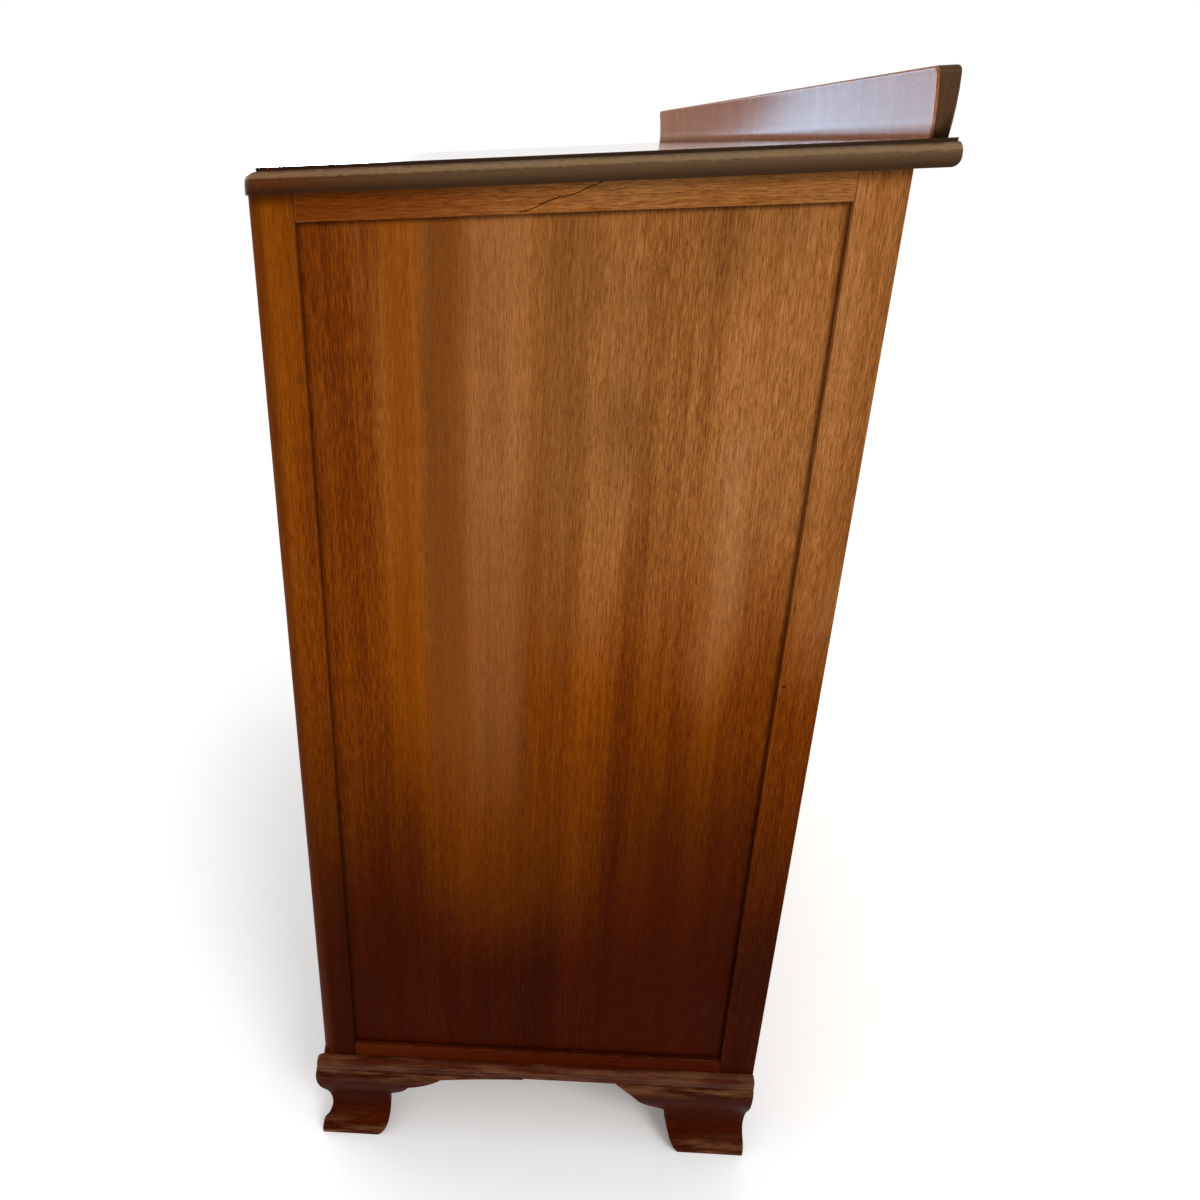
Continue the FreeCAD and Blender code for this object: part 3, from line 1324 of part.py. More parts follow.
def bail_path():
    """One half of the bail's centre line, from a pivot end down to the middle of the grip."""
    post = size.post_spacing / 2
    arm = post + size.bail_shoulder + size.bail_bend
    swan = s_curve_radius(size.bail_swan_in, size.bail_swan_drop)
    swan_top = -(size.bail_bend + size.bail_straight)
    swan_low = swan_top - size.bail_swan_drop
    swan_x = arm - size.bail_swan_in
    grip = swan_low - size.bail_corner
    return [
        (post - size.bail_pivot_inside, 0),
        (post + size.bail_shoulder, 0, -size.bail_bend),
        (arm, -size.bail_bend),
        (arm, swan_top, -swan),
        (arm - size.bail_swan_in / 2, swan_top - size.bail_swan_drop / 2, swan),
        (swan_x, swan_low, -size.bail_corner),
        (swan_x - size.bail_corner, grip),
    ]


def make_bail(name, x):
    half = bail_path()
    body = doc.addObject("PartDesign::Body", "Body")
    path = new_sketch(body, "XZ_Plane")
    whole = list(half)
    swells = [corner[2] if len(corner) > 2 else None for corner in half]
    for index in range(len(half) - 1, -1, -1):
        corner = (-half[index][0], half[index][1])
        swell = swells[index - 1] if index > 0 else None
        whole.append(corner if swell is None else corner + (swell,))
    draw(path, whole, closed=False)
    section = new_sketch(body, "YZ_Plane")
    bind(section, "AttachmentOffset.Base.z", half[0][0])
    circle = section.addGeometry(Part.Circle(Vector(), Vector(0, 0, 1), size.bail_radius.number))
    section.addConstraint(Sketcher.Constraint("Coincident", circle, 3, -1, 1))
    limit = section.addConstraint(Sketcher.Constraint("Radius", circle, size.bail_radius.number))
    bind(section, f"Constraints[{limit}]", size.bail_radius)
    pipe = body.newObject("PartDesign::AdditivePipe", "Bail")
    pipe.Profile = section
    pipe.Spine = (path, [f"Edge{number}" for number in range(1, len(whole))])
    sub_part(name, place(body, (x, pivot_y, pivot_z)))


def make_handles():
    posts = []
    for x in post_places():
        posts += handle_post(x)
    sub_part("handle_posts", group(*posts))
    make_bail("left_bail", -size.handle_offset)
    make_bail("right_bail", size.handle_offset)


# ---------------------------------------------------------------------------------------------------------
# Build in the order in which pieces use one another, check every object, and write one file for each piece.
# ---------------------------------------------------------------------------------------------------------

make_dust_board()
make_front_rails()
make_back()
make_side()
make_floor_and_shelves()
make_drawer_supports()
make_top()
make_base_moulding()
make_feet()
make_hinges()
make_door_frame()
make_door_panel()
make_door_moulding()
make_latch()
make_bolt()
make_drawer()
make_handles()
doc.recompute()

for thing in doc.Objects:
    if "Invalid" in thing.State or "Error" in thing.State:
        raise RuntimeError(f"{thing.Label} ({thing.Name}) failed: {thing.State}")
for name, piece in pieces.items():
    if piece.Shape.isNull() or not piece.Shape.isValid() or not piece.Shape.Solids:
        raise RuntimeError(f"{name} has no valid solid")

os.makedirs("parts", exist_ok=True)
for name, piece in pieces.items():
    piece.Shape.exportStep(f"parts/{name}.step")
print(f"{len(pieces)} pieces, {sum(len(piece.Shape.Solids) for piece in pieces.values())} solids")
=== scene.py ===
"""A French-polished mahogany chiffonier on a pale studio floor.

The carcass, doors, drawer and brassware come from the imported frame. This file gives every piece its wood or
metal, eases its arrises, and adds the screws and nails that hold the hinges, the bolt and the back.
Metres; the front faces -Y, +X is on the right of someone who faces the doors, and the floor is at Z = 0.
"""

import math
import random

import bmesh
import bpy
from mathutils import Matrix, Vector


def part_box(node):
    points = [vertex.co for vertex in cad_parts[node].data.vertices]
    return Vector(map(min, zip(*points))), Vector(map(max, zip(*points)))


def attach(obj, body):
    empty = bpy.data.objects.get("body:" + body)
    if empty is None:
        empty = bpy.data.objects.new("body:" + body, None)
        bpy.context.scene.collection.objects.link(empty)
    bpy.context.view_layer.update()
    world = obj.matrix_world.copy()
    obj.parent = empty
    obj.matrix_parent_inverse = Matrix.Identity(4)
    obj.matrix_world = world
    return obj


bl_info = {
    "name": "Mahogany Chiffonier",
    "version": (1, 0, 0),
    "blender": (4, 5, 0),
    "location": "3D View > Sidebar > Chiffonier",
    "description": "Polishes a panelled mahogany chiffonier and stands it on a pale floor",
    "category": "Object",
}

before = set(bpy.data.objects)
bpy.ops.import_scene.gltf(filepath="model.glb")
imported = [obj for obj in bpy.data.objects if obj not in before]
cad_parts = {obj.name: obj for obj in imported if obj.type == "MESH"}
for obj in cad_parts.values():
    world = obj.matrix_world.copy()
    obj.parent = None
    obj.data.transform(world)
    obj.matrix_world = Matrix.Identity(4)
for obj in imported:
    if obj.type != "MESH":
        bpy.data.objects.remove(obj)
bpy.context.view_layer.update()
MM = 0.001
BACK_BOARDS = 5


def linear(code):
    """An sRGB hex value as linear red, green, blue and alpha."""
    values = [int(code[index:index + 2], 16) / 255 for index in (1, 3, 5)]
    return tuple(v / 12.92 if v <= 0.04045 else ((v + 0.055) / 1.055) ** 2.4 for v in values) + (1.0,)


def colour_property(name, code, description):
    """A colour that a user can change, given as an sRGB hex value."""
    return bpy.props.FloatVectorProperty(
        name=name, description=description, subtype="COLOR", size=4, min=0, max=1, default=linear(code))


def number_property(name, value, description, **limits):
    """A number that a user can change, with its limits and its unit or subtype."""
    return bpy.props.FloatProperty(name=name, description=description, default=value, **limits)


def length_property(name, millimetres, description):
    """A length that a user can change, given in millimetres."""
    return number_property(name, millimetres * MM, description, min=0, unit="LENGTH", precision=5)


def share_property(name, value, description):
    """A share from none to all that a user can change."""
    return number_property(name, value, description, min=0, max=1, subtype="FACTOR")


# ---- Settings ----

class ChiffonierMahogany(bpy.types.PropertyGroup):
    """Show wood under its French polish."""

    # The three lit colours are painted light: the wood is drawn lighter and hazier high up, where light falls
    # on it.
    lit_dark: colour_property("Faded dark", "#79451B", "Dark ribbons where light has faded the wood")
    lit_mid: colour_property("Faded middle", "#9E622E", "Body of the faded wood")
    lit_light: colour_property("Faded light", "#BE7E48", "Light ribbons of the faded wood")
    warm_dark: colour_property("Warm dark", "#5C2303", "Dark ribbons of the wood that has kept its colour")
    warm_mid: colour_property("Warm middle", "#813C05", "Body of the wood that has kept its colour")
    warm_light: colour_property("Warm light", "#995109", "Light ribbons of the wood that has kept its colour")
    # The three deep colours are painted shade, which makes the wood darker towards the feet.
    shaded_dark: colour_property("Deep dark", "#2A0800", "Dark ribbons towards the feet")
    shaded_mid: colour_property("Deep middle", "#3B0D00", "Body of the wood towards the feet")
    shaded_light: colour_property("Deep light", "#4C1601", "Light ribbons towards the feet")
    olive: colour_property("Olive", "#67431D", "Greenish brown of some ribbons")
    # Painted sheen: a milky haze that stands in for light off the polish, laid over the wood that is painted
    # lighter.
    sheen: colour_property("Bloom", "#A2744B", "Milky haze of old polish")
    pore: colour_property("Pores", "#3A1505", "Old polish and wax in the open pores")
    # The arris colours are wear and painted highlight together: the eased arrises are drawn bright, as if
    # they caught the light, in rubbed patches.
    worn_and_lit: colour_property("Worn arris", "#A8713F", "Polish rubbed thin on an arris")
    worn_and_lit_deep: colour_property("Worn arris below", "#6B3B20", "Polish rubbed thin towards the feet")
    # This colour is real dirt in the cracks and the nick, and painted shade in the quirks, round the panels
    # and under the top's lip and edge.
    grime_and_shade: colour_property("Grime", "#1C0802", "Wax and dust that gather in the quirks")
    polish_tint: colour_property("Polish tint", "#FFD9B8", "Warm tint of what the polish reflects")
    # These heights set where the painted shade ends low down, and where the painted light starts and is full
    # higher up.
    shaded_below: length_property("Deep below", 220, "Height under which the wood is at its deepest")
    warm_above: length_property("Warm above", 690, "Height over which the deep colour is gone")
    lit_start: length_property("Fading starts", 560, "Height over which the wood starts to fade")
    lit_above: length_property("Faded above", 820, "Height over which the wood has faded")
    ribbon_width: length_property("Ribbon width", 34, "Width of a ribbon of interlocked grain")
    line_width: length_property("Growth line width", 3.4, "Width of the finer growth lines")
    fibre_width: length_property("Fibre width", 0.85, "Width of the fibres, drawn coarse enough to show")
    pore_width: length_property("Pore width", 0.6, "Width of the pores, drawn coarse enough to show")
    cloud_width: length_property("Cloud width", 90, "Width of the clouds of olive and of bloom")
    rubbed_width: length_property("Rubbed patches", 16.6667, "Width of the rubbed patches along an arris")
    ribbon_share: share_property("Ribbons", 0.28, "Share of the ribbons in the wood's tone")
    line_share: share_property("Growth lines", 0.20, "Share of the growth lines in the wood's tone")
    fibre_share: share_property("Fibres", 0.52, "Share of the fibres in the wood's tone")
    olive_share: share_property("Olive share", 0.45, "Strength of the olive where the wood has faded")
    sheen_share: share_property("Bloom share", 0.5, "Strength of the bloom where the wood has faded")
    pore_share: share_property("Pore share", 0.14, "Strength of the pores where the wood has kept its colour")
    # The pores show more where the wood is painted lighter.
    lit_pore_share: share_property("Faded pore share", 0.38, "What fading adds to the pores' strength")
    polish_roughness: share_property("Polish roughness", 0.45, "Roughness of the rubbed-down sides")
    arris: length_property("Eased arris", 0.7, "Width of the eased arrises")


class ChiffonierPine(bpy.types.PropertyGroup):
    """Unpolished wood of the back and the inside."""

    early: colour_property("Early wood", "#B8905F", "Pale spring growth")
    late: colour_property("Late wood", "#9A6D42", "Darker summer growth")
    stain: colour_property("Stain", "#6B4A2C", "Old dust and handling")
    ring_width: length_property("Ring width", 7, "Spacing of the growth rings")
    figure_width: length_property("Figure width", 111.1111, "Width of the waves that bend the growth rings")
    figure_depth: length_property("Figure depth", 110, "Depth of the waves, which is cut up into rings")
    fibre_width: length_property("Fibre width", 1.66667, "Width of the fibres, drawn coarse enough to show")
    stain_width: length_property("Stain width", 142.857, "Width of the stained patches")
    roughness: share_property("Roughness", 0.78, "Planed, unfinished surface")


class ChiffonierMetal(bpy.types.PropertyGroup):
    """Brass of the hinges, handles, latch and bolt, and steel of the screws in the raised back."""

    brass: colour_property("Brass", "#C9A45A", "Rubbed brass")
    tarnish: colour_property("Tarnish", "#7A5A2A", "Brown tarnish in the hollows")
    steel: colour_property("Steel", "#7C7A76", "Drawn steel of the screws that hold the raised back")
    rust: colour_property("Rust", "#5B3A25", "Thin rust on the steel")
    dull_width: length_property("Dull width", 6.25, "Width of the dull patches")
    scratch_width: length_property("Scratch width", 0.666667, "Width of the scratches, coarse enough to show")
    brass_roughness: share_property("Brass roughness", 0.3, "Worn polish of the brass")
    steel_roughness: share_property("Steel roughness", 0.5, "Dull surface of the steel")
    eased_edge: length_property("Eased edge", 0.15, "Width of the eased edges")
    screw_head: length_property("Screw head", 4, "Diameter of a countersunk screw head")


class ChiffonierStage(bpy.types.PropertyGroup):
    """Floor, backdrop, lamps and camera."""

    paper: colour_property("Paper", "#FFFFFF", "Pale floor and backdrop")
    daylight: number_property("Daylight", 0.55, "Strength of the even light from all round", min=0)
    window: number_property("Window", 38, "Power of the large soft window lamp", min=0, unit="POWER")
    fill: number_property("Fill", 16, "Power of the soft lamp before the doors", min=0, unit="POWER")
    sky: number_property("Sky", 44, "Power of the cool lamp that the raised back shows", min=0, unit="POWER")
    sky_colour: colour_property("Sky colour", "#B4DCFF", "Cool colour of the lamp that the raised back shows")
    floor_glow: number_property("Floor glow", 0.44, "How far the floor is lifted to white", min=0)
    floor_reach: length_property("Floor reach", 9000, "How far the floor goes on every side")
    # Near the feet the floor's glow falls off by ambient occlusion, a painted shadow.
    shadow_reach: length_property("Shadow reach", 450, "How near a foot the floor's glow starts to fall off")
    camera_place: bpy.props.FloatVectorProperty(
        name="Camera", description="Place of the camera", default=(1.1033, -0.0773, 1.0497),
        subtype="TRANSLATION")
    yaw: number_property("Yaw", -0.100, "Turn of the camera", subtype="ANGLE")
    pitch: number_property("Pitch", 0.393, "How far the camera looks down", subtype="ANGLE")
    roll: number_property("Roll", -0.045, "Lean of the camera", subtype="ANGLE")
    frame_width: number_property("Frame width", 36, "Width of the camera's frame in millimetres", min=1)
    focal_length: number_property("Focal length", 26.6, "Millimetres, for that frame width", min=1)
    shift: bpy.props.FloatVectorProperty(
        name="Shift", description="Part of the frame width", default=(0.1866, -0.0693), size=2)


class ChiffonierSettings(bpy.types.PropertyGroup):
    """Everything that a user would change."""

    wood: bpy.props.PointerProperty(type=ChiffonierMahogany)
    pine: bpy.props.PointerProperty(type=ChiffonierPine)
    metal: bpy.props.PointerProperty(type=ChiffonierMetal)
    stage: bpy.props.PointerProperty(type=ChiffonierStage)


# ---- Nodes, patterns and marks ----

SMOOTH = {"interpolation_type": "SMOOTHSTEP"}


def add(tree, kind, inputs=None, stops=(), **settings):
    """Adds a node with its settings, its ramp's stops and its inputs.

    An input is a value, a socket to link, or a node, which stands for its first output in use.
    """
    node = tree.nodes.new("ShaderNode" + kind)
    for name, value in settings.items():
        setattr(node, name, value)
    for index, (place, colour) in enumerate(stops):
        element = node.color_ramp.elements[index] if index < 2 else node.color_ramp.elements.new(place)
        element.position = place
        element.color = colour
    for name, value in (inputs or {}).items():
        if isinstance(value, bpy.types.Node):
            value = next(output for output in value.outputs if output.enabled)
        if isinstance(value, bpy.types.NodeSocket):
            tree.links.new(value, node.inputs[name])
        else:
            node.inputs[name].default_value = value
    return node


def new_material(name):
    """A new material with an empty node tree, and that tree."""
    material = bpy.data.materials.new(name)
    material.use_nodes = True
    material.node_tree.nodes.clear()
    return material, material.node_tree


def layered(tree, ground, layers):
    """Lays colours over a ground, one after another. A layer is its mask, its colour and its strength."""
    first_colour, second_colour = 6, 7
    for mask, colour, strength in layers:
        share = add(tree, "Math", {0: mask, 1: strength}, operation="MULTIPLY")
        ground = add(tree, "Mix", {0: share, first_colour: ground, second_colour: colour}, data_type="RGBA")
    return ground


def summed(tree, total, *parts):
    """Adds shares of some patterns to a total. A part is its pattern and its share."""
    for pattern, share in parts:
        total = add(tree, "Math", {0: pattern, 1: share, 2: total}, operation="MULTIPLY_ADD")
    return total


def patches(tree, place, width, levels, detail, roughness, low=0.0, high=1.0):
    """Patches of about a width, which go from low to high as the noise goes from one level to another."""
    noise = add(tree, "TexNoise", {
        "Vector": place, "Scale": 1 / width, "Detail": detail, "Roughness": roughness})
    return add(tree, "MapRange", {
        "Value": noise, "From Min": levels[0], "From Max": levels[1],
        "To Min": low, "To Max": high}, **SMOOTH)


# A mark is a function of the tree and the place that gives a mask: one where the mark is full, and nothing
# where there is none. The functions below make marks.

def everywhere(tree, place):
    """A mark that is full all over a piece."""
    return 1.0


def past(axis, start, end):
    """A mark that starts from nothing at one place on an axis and is full at another and beyond it."""
    def mask(tree, place):
        split = add(tree, "SeparateXYZ", {0: place})
        return add(tree, "MapRange", {
            "Value": split.outputs[axis], "From Min": start, "From Max": end}, **SMOOTH)
    return mask


def upright_band(middle, half_width, start, full):
    """A mark that runs up a side, soft at its two edges, from the height of its start to where it is full."""
    core = half_width * 0.35

    def mask(tree, place):
        split = add(tree, "SeparateXYZ", {0: place})
        beside = add(tree, "Math", {0: split.outputs["Y"], 1: middle}, operation="SUBTRACT")
        beside = add(tree, "Math", {0: beside}, operation="ABSOLUTE")
        band = add(tree, "MapRange", {"Value": beside, "From Min": half_width, "From Max": core}, **SMOOTH)
        return add(tree, "Math", {0: band, 1: past("Z", start, full)(tree, place)}, operation="MULTIPLY")
    return mask


def shaded_border(name, axes, inset, reach):
    """A mark of painted shade that is full at a panel's visible border, an inset from its edge, where the
    frame shades the panel, and ends a reach inside.
    """
    low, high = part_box(name)

    def mask(tree, place):
        split = add(tree, "SeparateXYZ", {0: place})
        sides = []
        for axis in axes:
            index = "XYZ".index(axis)
            middle = (high[index] + low[index]) / 2
            border = (high[index] - low[index]) / 2 - inset
            outwards = add(tree, "Math", {0: split.outputs[axis], 1: middle}, operation="SUBTRACT")
            outwards = add(tree, "Math", {0: outwards}, operation="ABSOLUTE")
            sides.append(add(tree, "MapRange", {
                "Value": outwards, "From Min": border - reach, "From Max": border}, **SMOOTH))
        return add(tree, "Math", dict(enumerate(sides)), operation="MAXIMUM")
    return mask


def near_line(points, half_width, wander=2.2 * MM, bend=4.16667 * MM):
    """A mark along a line through points of Y and Z.

    It wanders a little off the line, in bends of about a length, as a split follows the grain.
    """
    core = half_width * 0.3

    def mask(tree, place):
        flat = add(tree, "VectorMath", {0: place, 1: (0, 1, 1)}, operation="MULTIPLY")
        noise = add(tree, "TexNoise", {"Vector": flat, "Scale": 1 / bend, "Detail": 2.0}).outputs["Color"]
        noise = add(tree, "VectorMath", {0: noise, 1: (0.5, 0.5, 0.5)}, operation="SUBTRACT")
        strayed = add(tree, "VectorMath", {
            0: noise, 1: (0.0, wander, wander), 2: flat}, operation="MULTIPLY_ADD")
        nearest = None
        for start, end in zip(points, points[1:]):
            start = Vector((0, *start))
            way = Vector((0, *end)) - start
            offset = add(tree, "VectorMath", {0: strayed, 1: start}, operation="SUBTRACT")
            share = add(tree, "VectorMath", {
                0: offset, 1: way / way.length_squared}, operation="DOT_PRODUCT")
            share = add(tree, "Math", {0: share, 1: 0.0}, operation="ADD", use_clamp=True)
            foot = add(tree, "VectorMath", {0: way, "Scale": share}, operation="SCALE")
            distance = add(tree, "VectorMath", {0: offset, 1: foot}, operation="DISTANCE")
            nearest = distance if nearest is None else add(
                tree, "Math", {0: nearest, 1: distance}, operation="MINIMUM")
        return add(tree, "MapRange", {"Value": nearest, "From Min": half_width, "From Max": core}, **SMOOTH)
    return mask


def drawn_out(stretch, width, levels, detail, roughness):
    """A mark of patches of about a width, drawn out on each axis whose stretch is under one."""
    def mask(tree, place):
        stretched = add(tree, "VectorMath", {0: place, 1: stretch}, operation="MULTIPLY")
        return patches(tree, stretched, width, levels, detail, roughness)
    return mask


def both(first, second):
    """A mark only where two others are."""
    def mask(tree, place):
        return add(tree, "Math", {0: first(tree, place), 1: second(tree, place)}, operation="MULTIPLY")
    return mask


# ---- Materials ----

def polished_mahogany(
        name, wood, grain, marks=(), coat=0.0, coat_roughness=0.1, roughness=None, specular=0.015, worn_and_lit=0.0,
        shade=0.0, lightening=0.4, sunned=False):
    """Mahogany, ribbon cut, stained and French polished: shellac rubbed over open pores.

    Interlocked grain gives soft ribbons that run the length of the board, with fine lines and short fibres in
    them, and the pores are dark dashes of old wax. Painted shade makes the wood deep red brown towards the
    floor;
    it is warm above that, and painted light makes it lighter and hazier higher up, by the share in
    lightening.
    When lit towards the back, a side takes more painted light towards its back. Each of the marks comes with
    its colour and its strength. Shade deepens the whole board. On the arrises the polish is rubbed thin in
    patches, which are also painted highlights.
    """
    material, tree = new_material(name)
    place = add(tree, "TexCoord").outputs["Object"]
    split = add(tree, "SeparateXYZ", {0: place})
    shift = Vector(random.Random(name).uniform(-9, 9) for _ in range(3))

    def grained_noise(width, stretch, detail, roughness=0.55, distortion=0.0):
        """Noise of about a width, drawn out along the grain."""
        scale = [stretch if axis in grain else 1.0 for axis in "XYZ"]
        board = add(tree, "Mapping", {0: place, "Location": shift, "Scale": scale})
        return add(tree, "TexNoise", {
            "Vector": board, "Scale": 1 / width, "Detail": detail, "Roughness": roughness,
            "Distortion": distortion})

    ribbon = grained_noise(wood.ribbon_width, stretch=0.035, detail=2.0, roughness=0.5)
    lines = grained_noise(wood.line_width, stretch=0.03, detail=3.0)
    cloud = grained_noise(wood.cloud_width, stretch=0.3, detail=2.0)
    # Real fibres and pores are finer than the render shows, so both are drawn as coarse as they need to show.
    fibre = grained_noise(wood.fibre_width, stretch=0.055, detail=3.0, roughness=0.68, distortion=0.2)
    dashes = grained_noise(wood.pore_width, stretch=0.07, detail=1.0)
    pores = add(tree, "MapRange", {"Value": dashes, "From Min": 0.58, "From Max": 0.70}, **SMOOTH)
    tone = summed(tree, 0.0, (ribbon, wood.ribbon_share), (lines, wood.line_share), (fibre, wood.fibre_share))
    # Three copies of the wood's colours: painted shade, the plain wood, and painted light.
    deep, warm, lightened = (
        add(tree, "ValToRGB", {0: tone}, stops=[(0.40, dark), (0.60, light), (0.50, middle)])
        for dark, middle, light in (
            (wood.shaded_dark, wood.shaded_mid, wood.shaded_light),
            (wood.warm_dark, wood.warm_mid, wood.warm_light),
            (wood.lit_dark, wood.lit_mid, wood.lit_light)))

    # The colours change at a height that goes up and down with the clouds and the ribbons, and these together
    # lift it by about the drift. Below it the wood takes painted shade, and above it painted light.
    cloud_lift, ribbon_lift, drift = 100 * MM, 70 * MM, 100 * MM
    height = summed(tree, split.outputs["Z"], (cloud, cloud_lift), (ribbon, ribbon_lift))
    above_shade = add(tree, "MapRange", {
        "Value": height, "From Min": wood.shaded_below + drift, "From Max": wood.warm_above + drift}, **SMOOTH)
    lighten = add(tree, "MapRange", {
        "Value": height, "From Min": wood.lit_start + drift, "From Max": wood.lit_above + drift,
        "To Max": 1.0 if sunned else lightening}, **SMOOTH)
    # Painted light: a side lit from behind is drawn lighter towards its back.
    if sunned:
        shaded_before, lit_behind, ribbon_shift = -130 * MM, 110 * MM, 120 * MM
        depth = summed(tree, split.outputs["Y"], (ribbon, ribbon_shift))
        sun = add(tree, "MapRange", {
            "Value": depth, "From Min": shaded_before, "From Max": lit_behind, "To Min": 0.05}, **SMOOTH)
        lighten = add(tree, "Math", {0: lighten, 1: sun}, operation="MULTIPLY")

    # Clouds of olive in the wood's own colour, and clouds of painted sheen.
    olive = add(tree, "MapRange", {"Value": cloud, "From Min": 0.52, "From Max": 0.30}, **SMOOTH)
    sheen = add(tree, "MapRange", {"Value": cloud, "From Min": 0.52, "From Max": 0.75}, **SMOOTH)
    layers = [
        (above_shade, warm, 1.0),
        (lighten, lightened, 1.0),
        (olive, wood.olive, summed(tree, 0.0, (lighten, wood.olive_share))),
        (sheen, wood.sheen, summed(tree, 0.0, (lighten, wood.sheen_share))),
        *((mark(tree, place), colour, strength) for mark, colour, strength in marks),
        (pores, wood.pore, summed(tree, wood.pore_share, (lighten, wood.lit_pore_share))),
    ]
    if shade:
        layers.append((shade, wood.shaded_dark, 1.0))
    # On the arrises, patches of wear that are also painted highlights.
    if worn_and_lit:
        bare = layered(tree, wood.worn_and_lit_deep, [(above_shade, wood.worn_and_lit, 1.0)])
        rubbed = patches(
            tree, place, wood.rubbed_width, (0.42, 0.65), detail=4.0, roughness=0.7, low=0.1 * worn_and_lit,
            high=worn_and_lit)
        layers.append((rubbed, bare, 1.0))

    roughness = wood.polish_roughness if roughness is None else roughness
    smears = grained_noise(33 * MM, stretch=0.6, detail=4.0)
    rough = add(tree, "MapRange", {
        "Value": smears, "From Min": 0.25, "From Max": 0.75,
        "To Min": roughness * 0.85, "To Max": roughness * 1.2}, **SMOOTH)
    waves = grained_noise(22 * MM, stretch=0.35, detail=2.0)
    relief = summed(tree, waves, (fibre, 0.5), (pores, -0.6))
    bump = add(tree, "Bump", {"Height": relief, "Strength": 0.3, "Distance": 0.3 * MM})
    shader = add(tree, "BsdfPrincipled", {
        "Base Color": layered(tree, deep, layers), "Roughness": rough, "IOR": 1.5, "Normal": bump,
        "Specular IOR Level": specular, "Specular Tint": wood.polish_tint,
        "Coat Weight": coat, "Coat Roughness": coat_roughness})
    add(tree, "OutputMaterial", {0: shader})
    return material


def planed_pine(name, pine, grain, boards=None):
    """Deal, planed and left bare: pale rings with thin darker summer lines, browned by a century of dust.

    Boards is the start and the width of upright boards side by side in one piece, each with its own figure.
    """
    material, tree = new_material(name)
    place = add(tree, "TexCoord").outputs["Object"]
    shift = Vector(random.Random(name).uniform(-9, 9) for _ in range(3))
    figured = place
    if boards:
        start, width = boards
        across = add(tree, "SeparateXYZ", {0: place}).outputs["X"]
        across = add(tree, "Math", {0: across, 1: start}, operation="SUBTRACT")
        across = add(tree, "Math", {0: across, 1: width}, operation="DIVIDE")
        number = add(tree, "Math", {0: across}, operation="FLOOR")
        apart = (0.83, 2.7, 11.0)
        figured = add(tree, "VectorMath", {0: number, 1: apart, 2: place}, operation="MULTIPLY_ADD")
    scale = [0.05 if axis in grain else 1.0 for axis in "XYZ"]
    grained = add(tree, "Mapping", {0: figured, "Location": shift, "Scale": scale})
    bend = add(tree, "TexNoise", {"Vector": grained, "Scale": 1 / pine.figure_width, "Detail": 2.0})
    rings = add(tree, "Math", {0: bend, 1: pine.figure_depth / pine.ring_width}, operation="MULTIPLY")
    rings = add(tree, "Math", {0: rings}, operation="FRACT")
    late = add(tree, "MapRange", {"Value": rings, "From Min": 0.35, "From Max": 0.95}, **SMOOTH)
    # The fibres are drawn as coarse as they need to show.
    fibre = add(tree, "TexNoise", {"Vector": grained, "Scale": 1 / pine.fibre_width, "Detail": 3.0})
    dark_fibre = add(tree, "MapRange", {
        "Value": fibre, "From Min": 0.5, "From Max": 0.8, "To Max": 0.35}, **SMOOTH)
    stained = patches(
        tree, place, pine.stain_width, (0.4, 0.75), detail=5.0, roughness=0.65, low=0.1, high=0.6)
    colour = layered(tree, pine.early, [
        (late, pine.late, 1.0), (dark_fibre, pine.late, 1.0), (stained, pine.stain, 1.0)])
    bump = add(tree, "Bump", {"Height": fibre, "Strength": 0.3, "Distance": 0.3 * MM})
    shader = add(tree, "BsdfPrincipled", {
        "Base Color": colour, "Roughness": pine.roughness, "IOR": 1.5, "Specular IOR Level": 0.25,
        "Normal": bump})
    add(tree, "OutputMaterial", {0: shader})
    return material


def rubbed_metal(name, metal, bright, dull, roughness):
    """Cast, turned or drawn metal, rubbed bright by hands and dull with tarnish or rust elsewhere."""
    material, tree = new_material(name)
    place = add(tree, "TexCoord").outputs["Object"]
    dulled = patches(
        tree, place, metal.dull_width, (0.42, 0.68), detail=5.0, roughness=0.65, low=0.1, high=0.85)
    # The scratches are drawn as coarse as they need to show.
    scratches = add(tree, "TexNoise", {"Vector": place, "Scale": 1 / metal.scratch_width, "Detail": 2.0})
    bump = add(tree, "Bump", {"Height": scratches, "Strength": 0.12, "Distance": 0.1 * MM})
    shader = add(tree, "BsdfPrincipled", {
        "Base Color": layered(tree, bright, [(dulled, dull, 1.0)]), "Metallic": 1.0,
        "Roughness": summed(tree, roughness, (dulled, 0.22)), "Normal": bump})
    add(tree, "OutputMaterial", {0: shader})
    return material


def rusted_iron(name, iron, rust, grain_width):
    """Cut iron, left black and rough, and browned with specks of rust."""
    material, tree = new_material(name)
    place = add(tree, "TexCoord").outputs["Object"]
    rusty = add(tree, "TexNoise", {"Vector": place, "Scale": 1 / grain_width, "Detail": 4.0})
    shader = add(tree, "BsdfPrincipled", {
        "Base Color": layered(tree, iron, [(rusty, rust, 1.0)]), "Metallic": 0.6, "Roughness": 0.7})
    add(tree, "OutputMaterial", {0: shader})
    return material


# ---- Working on the frame's pieces ----

